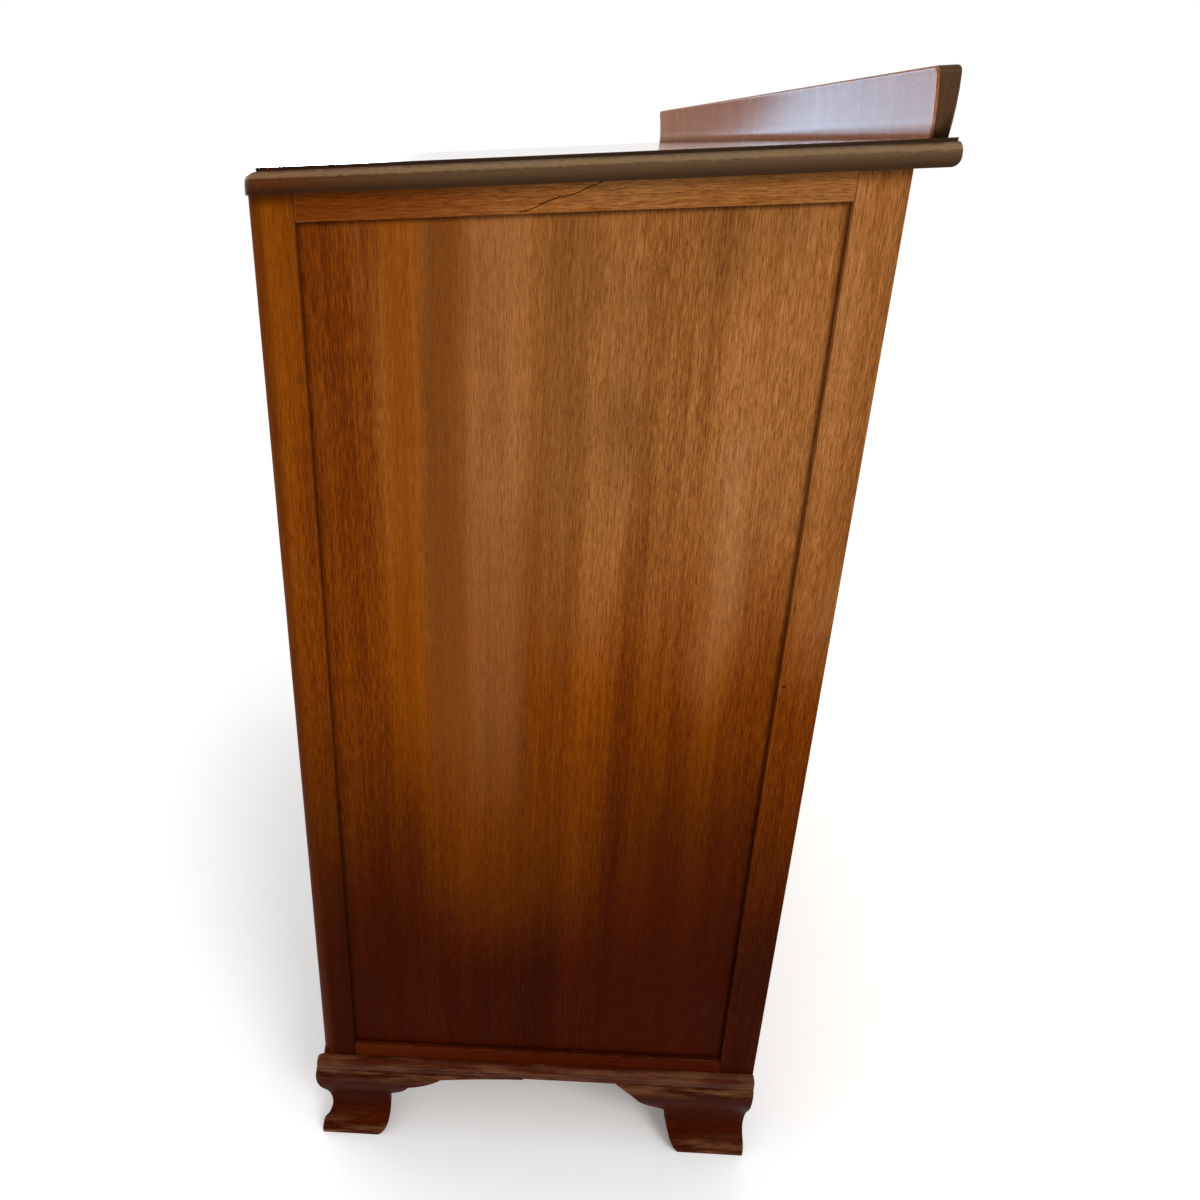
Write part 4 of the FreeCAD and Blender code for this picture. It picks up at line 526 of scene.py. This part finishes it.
def dress(name, body_material, width=0.0, arris_material=None):
    """Gives a frame piece its finish. Its arrises are eased, and take the rubbed finish, with its painted
    highlights, if there is one.
    """
    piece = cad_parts[name]
    piece.data.materials.clear()
    piece.data.materials.append(body_material)
    piece.data.shade_smooth()
    weld = piece.modifiers.new("Joined faces", "WELD")
    weld.merge_threshold = 0.005 * MM
    flat = piece.modifiers.new("Whole faces", "DECIMATE")
    flat.decimate_type = "DISSOLVE"
    flat.angle_limit = math.radians(0.6)
    if width:
        eased = piece.modifiers.new("Eased arris", "BEVEL")
        eased.width = width
        eased.segments = 2
        eased.limit_method = "ANGLE"
        eased.angle_limit = math.radians(32)
        eased.use_clamp_overlap = True
        if arris_material:
            piece.data.materials.append(arris_material)
            eased.material = 1
    even = piece.modifiers.new("Even shading", "WEIGHTED_NORMAL")
    even.keep_sharp = not width
    return piece


def mahogany_piece(settings, name, grain, width=None, worn_and_lit=0.35, **finish):
    """Polishes one piece of show wood, with its own length of grain."""
    wood = settings.wood
    body = polished_mahogany(f"polished_mahogany_{name}", wood, grain, **finish)
    # The rubbed finish of the arrises is wear and painted highlight.
    rubbed = polished_mahogany(f"rubbed_mahogany_{name}", wood, grain, worn_and_lit=worn_and_lit, **finish) if worn_and_lit else None
    return dress(name, body, wood.arris if width is None else width, rubbed)


def pine_piece(settings, name, grain, boards=None):
    """Planes one piece of the back, the inside or the drawer, with its own length of grain."""
    return dress(name, planed_pine(f"planed_pine_{name}", settings.pine, grain, boards), 0.4 * MM)


def add_finish(name, material, test):
    """Gives the faces of a frame piece that a test picks another finish."""
    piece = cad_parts[name]
    piece.data.materials.append(material)
    index = len(piece.data.materials) - 1
    for polygon in piece.data.polygons:
        if test(polygon):
            polygon.material_index = index


def lies_level(name, centre):
    """Whether a face belongs to a level strip of a frame, by the border that it is nearer to."""
    low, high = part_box(name)
    to_side = min(centre.x - low.x, high.x - centre.x)
    to_end = min(centre.z - low.z, high.z - centre.z)
    return to_end < to_side


# ---- Show wood ----

FRONT_POLISH = {"coat": 0.4, "roughness": 0.36}
FRONT_PANEL_POLISH = {"coat": 0.5, "roughness": 0.33, "worn_and_lit": 0.3}


class PolishSideFrames(bpy.types.Operator):
    """Polish the stiles and rails of both side frames"""

    bl_idname = "chiffonier.side_frames"
    bl_label = "Side frames"

    def execute(self, context):
        settings = context.scene.chiffonier
        wood = settings.wood
        # Painted light high on the front stiles, and painted shade low down on them.
        painted_light_aloft = past("Z", 700 * MM, 1000 * MM)
        painted_shade_low = past("Z", 720 * MM, 250 * MM)
        # Painted shade towards the front end of the side rails.
        front_end_shade = past("Y", 20 * MM, -160 * MM)
        for side in ("left", "right"):
            low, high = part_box(f"{side}_front_stile")
            quirk = low.y + 35.5 * MM
            # Painted shade on the rounded front arris, which is turned from the light.
            rounded_arris_shade = past("Y", low.y + 15 * MM, low.y + 7 * MM)
            # Painted shade along the stile's inner quirk.
            inner_quirk_shade = past("Y", quirk - 1.6 * MM, quirk)
            # Darker at the head of the stile, just under the top.
            head = past("Z", high.z - 14 * MM, high.z)
            cracks, nick = [], []
            if side == "right":
                long_crack = near_line([
                    (-0.032, 1.0035), (-0.021, 1.0065), (-0.010, 1.0117), (0.006, 1.0147), (0.0245, 1.0222),
                ], 0.55 * MM)
                short_crack = near_line([(0.027, 1.0158), (0.042, 1.0174)], 0.4 * MM)
                cracks = [(long_crack, wood.grime_and_shade, 0.92), (short_crack, wood.grime_and_shade, 0.75)]
                nick = [(near_line([(0.2000, 0.6080), (0.2016, 0.6084)], 1.3 * MM), wood.grime_and_shade, 0.9)]
            mahogany_piece(settings, f"{side}_front_stile", "Z", sunned=True, marks=[
                (painted_light_aloft, wood.warm_light, 0.3), (painted_shade_low, wood.shaded_dark, 0.6),
                (rounded_arris_shade, wood.warm_dark, 0.55), (inner_quirk_shade, wood.grime_and_shade, 0.45),
                (head, wood.grime_and_shade, 0.35)])
            mahogany_piece(settings, f"{side}_rear_stile", "Z", sunned=True, marks=[
                (head, wood.grime_and_shade, 0.25), *nick])
            mahogany_piece(settings, f"{side}_side_rails", "Y", worn_and_lit=0.5, sunned=True, marks=[
                (front_end_shade, wood.warm_dark, 0.45), *cracks])
        return {"FINISHED"}


class PolishSidePanels(bpy.types.Operator):
    """Polish the two recessed side panels"""

    bl_idname = "chiffonier.side_panels"
    bl_label = "Side panels"

    def execute(self, context):
        settings = context.scene.chiffonier
        wood = settings.wood
        # Middle and half width across the panel, heights where it starts and is full, colour and strength.
        # Among the ribbons of figure, the wide light band down the middle is painted light, the two deep
        # bands low at the sides are painted shade, and the sheen band is painted sheen.
        figure_light_and_shade_bands = (
            (-0.120, 0.022, 0.42, 0.60, wood.warm_light, 0.40),
            (-0.088, 0.024, 0.42, 0.60, wood.lit_dark, 0.65),
            (-0.046, 0.036, 0.40, 0.62, wood.sheen, 0.25),
            (-0.030, 0.090, 0.24, 0.42, wood.warm_light, 0.14),
            (0.004, 0.026, 0.50, 0.80, wood.olive, 0.34),
            (0.130, 0.100, 0.66, 0.40, wood.shaded_mid, 0.50),
            (-0.150, 0.060, 0.62, 0.34, wood.shaded_mid, 0.38),
        )
        marks = [(upright_band(*band), colour, strength) for *band, colour, strength in figure_light_and_shade_bands]
        for name in ("left_side_panel", "right_side_panel"):
            # Painted shade round the panel, where the frame meets it.
            border = shaded_border(name, "YZ", inset=7 * MM, reach=5 * MM)
            mahogany_piece(settings, name, "Z", width=0.0, worn_and_lit=0.0, sunned=True, marks=[
                *marks, (border, wood.grime_and_shade, 0.5)])
        return {"FINISHED"}


class PolishTop(bpy.types.Operator):
    """Polish the top board to a high gloss, with its moulded edge: painted shade under its lip and beneath,
    and a painted highlight along its crown
    """

    bl_idname = "chiffonier.top"
    bl_label = "Top"

    edge_front: colour_property("Front edge", "#38180A", "Brown of the moulded edge in front")
    # The crown colour is a painted highlight.
    crown: colour_property("Crown", "#AC8E68", "Rubbed crown of the moulded edge")
    edge_back: colour_property("Back edge", "#5A4630", "Olive brown of the edge towards the back")

    def execute(self, context):
        settings = context.scene.chiffonier
        wood = settings.wood
        low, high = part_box("top_board")
        towards_back = past("Y", -220 * MM, -50 * MM)
        # Painted shade in the quirk under the lip, and on the lower round of the edge.
        under_lip_shade = past("Z", high.z - 3.2 * MM, high.z - 2.0 * MM)
        underside_shade = past("Z", low.z + 9 * MM, low.z + 1 * MM)
        # A painted highlight along the crown of the moulded edge, where it would catch the light.
        crown_height = high.z - 5.5 * MM
        crown_highlight = near_line([(-0.3, crown_height), (0.3, crown_height)], 2.6 * MM)
        mahogany_piece(
            settings, "top_board", "X", width=0.5 * MM, worn_and_lit=0.0, coat=1.0, roughness=0.2, specular=0.3)
        edge = polished_mahogany(
            "polished_mahogany_top_edge", wood, "Y", roughness=0.3, specular=0.1, marks=[
                (everywhere, self.edge_front, 0.8), (towards_back, self.edge_back, 0.75),
                (crown_highlight, self.crown, 0.4), (underside_shade, wood.grime_and_shade, 0.7), (under_lip_shade, wood.grime_and_shade, 0.75)])
        add_finish("top_board", edge, lambda face: face.center.z < high.z - 0.3 * MM or face.normal.z < 0.9)
        return {"FINISHED"}


class PolishSplashback(bpy.types.Operator):
    """Polish the raised back, veneered in front and dark at its ends"""

    bl_idname = "chiffonier.splashback"
    bl_label = "Splashback"

    veneer: colour_property("Veneer", "#BE7648", "Reddish veneer of the face")
    streak: colour_property("Streaks", "#E0B79A", "Fine streaks where the polish is rubbed through")
    end_grain: colour_property("End grain", "#3C2F21", "Dark handled ends and back")

    def execute(self, context):
        settings = context.scene.chiffonier
        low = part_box("splashback")[0]
        streaks = drawn_out((1.0, 1.0, 0.06), 13.3333 * MM, (0.50, 0.70), detail=5.0, roughness=0.75)
        rubbed_foot = past("Z", low.z + 15 * MM, low.z + 11 * MM)
        mahogany_piece(settings, "splashback", "Z", width=0.0, worn_and_lit=0.0, roughness=0.4, specular=0.1, marks=[
            (everywhere, self.end_grain, 0.85)])
        # The face takes the full painted light and painted sheen of the upper wood, under its veneer colour.
        veneer = polished_mahogany(
            "polished_mahogany_splashback_face", settings.wood, "Z", roughness=0.3, specular=0.0, coat=0.2,
            coat_roughness=0.16, lightening=1.0, marks=[
                (everywhere, self.veneer, 0.7), (streaks, self.streak, 0.28),
                (rubbed_foot, self.streak, 0.2)])
        add_finish("splashback", veneer, lambda face: face.normal.y < -0.5)
        return {"FINISHED"}


class PolishFrontRails(bpy.types.Operator):
    """Polish the rails across the front"""

    bl_idname = "chiffonier.front_rails"
    bl_label = "Front rails"

    def execute(self, context):
        for name in ("front_top_rail", "drawer_rail", "front_bottom_rail"):
            mahogany_piece(context.scene.chiffonier, name, "X", **FRONT_POLISH)
        return {"FINISHED"}


class PolishDoors(bpy.types.Operator):
    """Polish the door frames, their raised panels and the planted mouldings"""

    bl_idname = "chiffonier.doors"
    bl_label = "Doors"

    def execute(self, context):
        settings = context.scene.chiffonier
        wood = settings.wood
        for side in ("left", "right"):
            for part, grain in (("hinge_stile", "Z"), ("meeting_stile", "Z"), ("rails", "X")):
                mahogany_piece(settings, f"{side}_door_{part}", grain, **FRONT_POLISH)
            panel = f"{side}_door_panel"
            # Painted shade round the raised panel, where the frame meets it.
            border = shaded_border(panel, "XZ", inset=8 * MM, reach=12 * MM)
            mahogany_piece(settings, panel, "Z", marks=[(border, wood.grime_and_shade, 0.5)], **FRONT_PANEL_POLISH)
            moulding = f"{side}_door_moulding"
            mahogany_piece(settings, moulding, "Z", coat=0.4, width=0.4 * MM, worn_and_lit=0.4, shade=0.2)
            level = polished_mahogany(f"level_mahogany_{moulding}", wood, "X", coat=0.4, shade=0.2)
            add_finish(moulding, level, lambda face, name=moulding: lies_level(name, face.center))
        return {"FINISHED"}


class PolishDrawer(bpy.types.Operator):
    """Polish the drawer front and its cock beads, and plane the drawer's inner pieces"""

    bl_idname = "chiffonier.drawer"
    bl_label = "Drawer"

    def execute(self, context):
        settings = context.scene.chiffonier
        mahogany_piece(settings, "drawer_front", "X", **FRONT_PANEL_POLISH)
        mahogany_piece(settings, "drawer_cock_beads", "X", coat=0.4, width=0.3 * MM, worn_and_lit=0.4, shade=0.25)
        for name, grain in (("drawer_sides", "Y"), ("drawer_back", "X"), ("drawer_bottom", "X")):
            pine_piece(settings, name, grain)
        return {"FINISHED"}


class PolishBase(bpy.types.Operator):
    """Polish the base moulding and the bracket feet, painted dark as shade low down, with scuffs and painted
    highlights
    """

    bl_idname = "chiffonier.base"
    bl_label = "Base"

    # The scuff colour is wear and painted highlight together.
    scuffs_and_highlights: colour_property("Scuffed", "#8A5A3C", "Rubbed lower edges and mouldings")

    def execute(self, context):
        settings = context.scene.chiffonier
        # Scuffs along the moulding that are also painted sheen on its ridges; on the feet, painted highlights
        # where the toe and the bulge would catch the light, broken up as scuffs.
        scuff_and_sheen_patches = drawn_out((1.0, 0.16, 1.3), 11.1111 * MM, (0.40, 0.66), detail=6.0, roughness=0.7)
        toe_scuffs_and_highlight = both(past("Z", 30 * MM, 4 * MM), scuff_and_sheen_patches)
        bulge_highlight = both(past("Z", 86 * MM, 104 * MM), scuff_and_sheen_patches)
        for name, grain in (
            ("front_base_moulding", "X"), ("left_base_moulding", "Y"), ("right_base_moulding", "Y"),
        ):
            mahogany_piece(
                settings, name, grain, width=0.4 * MM, worn_and_lit=0.6, specular=0.1, roughness=0.35,
                marks=[(scuff_and_sheen_patches, self.scuffs_and_highlights, 0.36)])
        for name in ("front_left_foot", "front_right_foot", "rear_left_foot", "rear_right_foot"):
            mahogany_piece(settings, name, "XY", width=0.6 * MM, worn_and_lit=0.5, specular=0.02, marks=[
                (toe_scuffs_and_highlight, self.scuffs_and_highlights, 0.75), (bulge_highlight, self.scuffs_and_highlights, 0.6)])
        return {"FINISHED"}


# ---- Inside, brassware, screws and nails ----

class PlaneInside(bpy.types.Operator):
    """Plane the back, the shelves and the woodwork inside"""

    bl_idname = "chiffonier.inside"
    bl_label = "Back and inside"

    def execute(self, context):
        settings = context.scene.chiffonier
        for name, grain in (
            ("back_top_rail", "X"), ("floor_board", "X"), ("dust_board", "X"),
            ("drawer_runners", "Y"), ("drawer_guides", "Y"), ("drawer_kickers", "Y"), ("drawer_stops", "X"),
            ("upper_shelf", "X"), ("lower_shelf", "X"), ("shelf_bearers", "Y"), ("foot_blocks", "Z"),
        ):
            pine_piece(settings, name, grain)
        low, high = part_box("back_boards")
        pine_piece(settings, "back_boards", "Z", boards=(low.x, (high.x - low.x) / BACK_BOARDS))
        return {"FINISHED"}


class FinishMetal(bpy.types.Operator):
    """Give the brassware its rubbed brass, and the screws of the raised back their dull steel"""

    bl_idname = "chiffonier.metal"
    bl_label = "Brassware and steel"

    def execute(self, context):
        metal = context.scene.chiffonier.metal
        brass = rubbed_metal("rubbed_brass", metal, metal.brass, metal.tarnish, metal.brass_roughness)
        steel = rubbed_metal("dull_steel", metal, metal.steel, metal.rust, metal.steel_roughness)
        for name in (
            "hinge_frame_leaves", "hinge_pins", "left_door_hinge_leaves", "right_door_hinge_leaves",
            "latch_rose", "latch_knob", "latch_tongue", "bolt_plate", "door_bolt", "handle_posts",
            "left_bail", "right_bail",
        ):
            dress(name, brass, metal.eased_edge)
        dress("splashback_screws", steel, metal.eased_edge)
        return {"FINISHED"}


def new_object(bm, name, material):
    """Makes a new object of a bmesh, with one material."""
    mesh = bpy.data.meshes.new(name)
    bm.to_mesh(mesh)
    bm.free()
    mesh.materials.append(material)
    made = bpy.data.objects.new(name, mesh)
    bpy.context.scene.collection.objects.link(made)
    return made


def fastened(bm, name, material, body):
    """Makes a new piece of a bmesh, which rides on a body and takes its finish from a slot."""
    piece = new_object(bm, name, material)
    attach(piece, body)


def vertices_of(geometry):
    """The vertices among what a bmesh operator gives back."""
    return [item for item in geometry if isinstance(item, bmesh.types.BMVert)]


def add_screw(bm, place, towards, radius, slot_turn):
    """A countersunk screw head that looks towards a direction, its rim flush with what it holds."""
    head_height, slot_half_width, slot_depth = radius * 0.14, radius * 0.16, radius * 0.3
    start = len(bm.verts)
    made = bmesh.ops.create_circle(bm, cap_ends=True, segments=20, radius=radius)
    disc = made["verts"][0].link_faces[0]
    raised = bmesh.ops.extrude_face_region(bm, geom=[disc])
    bmesh.ops.delete(bm, geom=[disc], context="FACES_ONLY")
    top = vertices_of(raised["geom"])
    bmesh.ops.translate(bm, verts=top, vec=(0, 0, head_height))
    for offset in (-slot_half_width, slot_half_width):
        around = {f for v in top for f in v.link_faces}
        faces = [f for f in around if abs(f.normal.z) > 0.9 or len(f.verts) > 4]
        geometry = list({*faces, *(e for f in faces for e in f.edges), *(v for f in faces for v in f.verts)})
        split = bmesh.ops.bisect_plane(bm, geom=geometry, plane_co=(0, offset, 0), plane_no=(0, 1, 0))
        top = list({*top, *vertices_of(split["geom_cut"])})
    upper = [f for f in {f for v in top for f in v.link_faces} if len(f.verts) >= 4 and f.normal.z > 0.9]
    slot = [f for f in upper if abs(f.calc_center_median().y) < slot_half_width / 2]
    sunk = bmesh.ops.extrude_face_region(bm, geom=slot)
    bmesh.ops.delete(bm, geom=slot, context="FACES_ONLY")
    bmesh.ops.translate(bm, verts=vertices_of(sunk["geom"]), vec=(0, 0, -slot_depth))
    bm.verts.ensure_lookup_table()
    turn = Vector((0, 0, 1)).rotation_difference(Vector(towards)).to_matrix().to_4x4()
    spin = Matrix.Rotation(slot_turn, 4, "Z")
    bmesh.ops.transform(bm, matrix=Matrix.Translation(place) @ turn @ spin, verts=bm.verts[start:])


class AddScrews(bpy.types.Operator):
    """Add the brass screws of the hinges and of the bolt's plate"""

    bl_idname = "chiffonier.screws"
    bl_label = "Screws"

    leaf_length: length_property("Leaf length", 64, "Length of a hinge leaf")
    plate_thickness: length_property("Plate thickness", 2, "Thickness of the bolt's plate")
    plate_inset: length_property("Screw inset", 3.4, "From the side of the bolt's plate to a screw")
    plate_end_inset: length_property("End inset", 20, "From the end of the bolt's plate to a screw")

    def execute(self, context):
        radius = context.scene.chiffonier.metal.screw_head / 2
        brass = bpy.data.materials["rubbed_brass"]
        turns = random.Random(3)
        low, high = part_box("hinge_frame_leaves")
        leaf_feet = (low.z, high.z - self.leaf_length)
        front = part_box("left_front_stile")[0].y
        frame_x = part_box("right_front_stile")[0].x
        door_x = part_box("right_door_hinge_stile")[1].x
        for side, sign in (("left", -1), ("right", 1)):
            for body, part, x, towards in (
                ("carcass", "frame", sign * frame_x, -sign), (f"{side}_door", "door", sign * door_x, sign),
            ):
                bm = bmesh.new()
                for foot in leaf_feet:
                    for up, back in ((10, 11.5), (32, 9.5), (54, 11.5)):
                        place = Vector((x, front + back * MM, foot + up * MM))
                        add_screw(bm, place, (towards, 0, 0), radius, turns.uniform(0, math.pi))
                fastened(bm, f"{side}_{part}_hinge_screws", brass, body)
        low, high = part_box("bolt_plate")
        bm = bmesh.new()
        for x in (low.x + self.plate_inset, high.x - self.plate_inset):
            for z in (low.z + self.plate_end_inset, high.z - self.plate_end_inset):
                place = Vector((x, low.y + self.plate_thickness, z))
                add_screw(bm, place, (0, 1, 0), radius, turns.uniform(0, math.pi))
        fastened(bm, "bolt_plate_screws", brass, "left_door")
        return {"FINISHED"}


class AddBackNails(bpy.types.Operator):
    """Add the cut nails that hold the back boards"""

    bl_idname = "chiffonier.back_nails"
    bl_label = "Back nails"

    iron: colour_property("Iron", "#2B211B", "Black iron of the nails")
    rust: colour_property("Rust", "#5B3A25", "Fine rust on the nails")
    rust_width: length_property("Rust grain", 1.11111, "Width of the specks of rust")
    head_radius: length_property("Head radius", 2.1, "Radius of a nail's head")
    flatness: share_property("Head height", 0.28, "Height of a nail's head, as a share of its radius")

    def execute(self, context):
        iron = rusted_iron("rusted_iron", self.iron, self.rust, self.rust_width)
        low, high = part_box("back_boards")
        board_width = (high.x - low.x) / BACK_BOARDS
        askew = random.Random(11)
        bm = bmesh.new()
        for board in range(BACK_BOARDS):
            for share in (0.14, 0.5, 0.86):
                for height in (low.z + 16 * MM, low.z + 41 * MM, high.z - 9 * MM):
                    x = low.x + board_width * (board + share) + askew.uniform(-4, 4) * MM
                    z = height + askew.uniform(-2, 2) * MM
                    head = bmesh.ops.create_uvsphere(bm, u_segments=10, v_segments=6, radius=self.head_radius)
                    bmesh.ops.scale(bm, verts=head["verts"], vec=(1, self.flatness, 1))
                    bmesh.ops.translate(bm, verts=head["verts"], vec=(x, high.y - 0.1 * MM, z))
        fastened(bm, "back_board_nails", iron, "carcass")
        return {"FINISHED"}


# ---- Stage ----

def looked_at(tree):
    """One for a ray from the camera, off a gloss or through glass, and nothing for any other."""
    rays = add(tree, "LightPath").outputs
    seen = add(tree, "Math", {0: rays["Is Camera Ray"], 1: rays["Is Glossy Ray"]}, operation="MAXIMUM")
    return add(tree, "Math", {0: seen, 1: rays["Is Transmission Ray"]}, operation="MAXIMUM")


def even_daylight(stage):
    """Soft daylight from all round, which looks as white as the paper."""
    world = bpy.data.worlds.new("Even daylight")
    world.use_nodes = True
    tree = world.node_tree
    tree.nodes.clear()
    strength = add(tree, "MapRange", {"Value": looked_at(tree), "To Min": stage.daylight, "To Max": 1.0})
    light = add(tree, "Background", {"Color": stage.paper, "Strength": strength})
    add(tree, "OutputWorld", {0: light})
    return world


def seamless_paper(stage):
    """Matt white background paper. It looks plain white, but keeps the shadow of what stands on it, and near
    the feet ambient occlusion holds back its glow, a painted shadow over the real one.
    """
    paper, tree = new_material("seamless_paper")
    # Painted shadow: ambient occlusion dims the glow near the piece.
    clear = add(tree, "AmbientOcclusion", {"Distance": stage.shadow_reach}).outputs["AO"]
    glow = add(tree, "Math", {0: looked_at(tree), 1: stage.floor_glow}, operation="MULTIPLY")
    glow = add(tree, "Math", {0: glow, 1: clear}, operation="MULTIPLY")
    shader = add(tree, "BsdfPrincipled", {
        "Base Color": stage.paper, "Roughness": 0.9, "Specular IOR Level": 0.0,
        "Emission Color": stage.paper, "Emission Strength": glow})
    add(tree, "OutputMaterial", {0: shader})
    return paper


def hang_lamp(name, power, colour, place, target, size, lights_wood=True):
    """Hangs a round soft lamp towards a target. One that doesn't light the wood shows in its polish."""
    lamp = bpy.data.lights.new(name, "AREA")
    lamp.color = colour[:3]
    lamp.energy = power
    lamp.shape = "DISK"
    lamp.size = size
    hung = bpy.data.objects.new(name, lamp)
    hung.location = place
    hung.rotation_euler = (Vector(target) - Vector(place)).to_track_quat("-Z", "Y").to_euler()
    hung.visible_diffuse = lights_wood
    bpy.context.scene.collection.objects.link(hung)


def stand_camera(stage):
    """Stands the camera where it looks at a side from a little above the top, and close by."""
    ahead = Vector((
        -math.cos(stage.yaw) * math.cos(stage.pitch),
        math.sin(stage.yaw) * math.cos(stage.pitch),
        -math.sin(stage.pitch),
    ))
    right = ahead.cross(Vector((0, 0, 1))).normalized()
    up = right.cross(ahead)
    leaning_right = right * math.cos(stage.roll) + up * math.sin(stage.roll)
    leaning_up = up * math.cos(stage.roll) - right * math.sin(stage.roll)
    camera = bpy.data.cameras.new("Camera")
    camera.sensor_width = stage.frame_width
    camera.lens = stage.focal_length
    camera.shift_x, camera.shift_y = stage.shift
    camera.clip_start, camera.clip_end = 0.01, 60
    stand = bpy.data.objects.new("Camera", camera)
    axes = Matrix((leaning_right, leaning_up, -ahead)).transposed()
    stand.matrix_world = Matrix.Translation(stage.camera_place) @ axes.to_4x4()
    bpy.context.scene.collection.objects.link(stand)
    return stand


class SetStage(bpy.types.Operator):
    """Lay the pale floor, hang the lamps and set the camera"""

    bl_idname = "chiffonier.stage"
    bl_label = "Stage"

    def execute(self, context):
        scene = context.scene
        stage = scene.chiffonier.stage
        scene.view_settings.view_transform = "Standard"
        scene.world = even_daylight(stage)
        bm = bmesh.new()
        bmesh.ops.create_grid(bm, x_segments=1, y_segments=1, size=stage.floor_reach)
        new_object(bm, "floor", seamless_paper(stage))
        hang_lamp(
            "Window lamp", stage.window, stage.paper, place=(2.6, 1.3, 2.4), target=(0.2, 0.0, 0.75),
            size=1.6)
        hang_lamp(
            "Front lamp", stage.fill, stage.paper, place=(-0.8, -3.0, 2.2), target=(0.0, 0.0, 0.6),
            size=1.8)
        hang_lamp(
            "Sky lamp", stage.sky, stage.sky_colour, place=(-1.65, -0.66, 1.33), target=(0.4, 0.24, 1.06),
            size=0.9, lights_wood=False)
        scene.camera = stand_camera(stage)
        return {"FINISHED"}


STEPS = (
    PolishSideFrames, PolishSidePanels, PolishTop, PolishSplashback, PolishFrontRails, PolishDoors,
    PolishDrawer, PolishBase, PlaneInside, FinishMetal, AddScrews, AddBackNails, SetStage,
)


class ChiffonierPanel(bpy.types.Panel):
    """The chiffonier's making, one button for each group of pieces"""

    bl_idname = "VIEW3D_PT_chiffonier"
    bl_label = "Chiffonier"
    bl_space_type = "VIEW_3D"
    bl_region_type = "UI"
    bl_category = "Chiffonier"

    def draw(self, context):
        for step in STEPS:
            self.layout.operator(step.bl_idname)


CLASSES = (
    ChiffonierMahogany, ChiffonierPine, ChiffonierMetal, ChiffonierStage, ChiffonierSettings, *STEPS,
    ChiffonierPanel,
)


def register():
    for item in CLASSES:
        bpy.utils.register_class(item)
    bpy.types.Scene.chiffonier = bpy.props.PointerProperty(type=ChiffonierSettings)


def unregister():
    del bpy.types.Scene.chiffonier
    for item in reversed(CLASSES):
        bpy.utils.unregister_class(item)


def main():
    register()
    for step in STEPS:
        group, name = step.bl_idname.split(".")
        getattr(getattr(bpy.ops, group), name)()


if __name__ == "__main__":
    main()
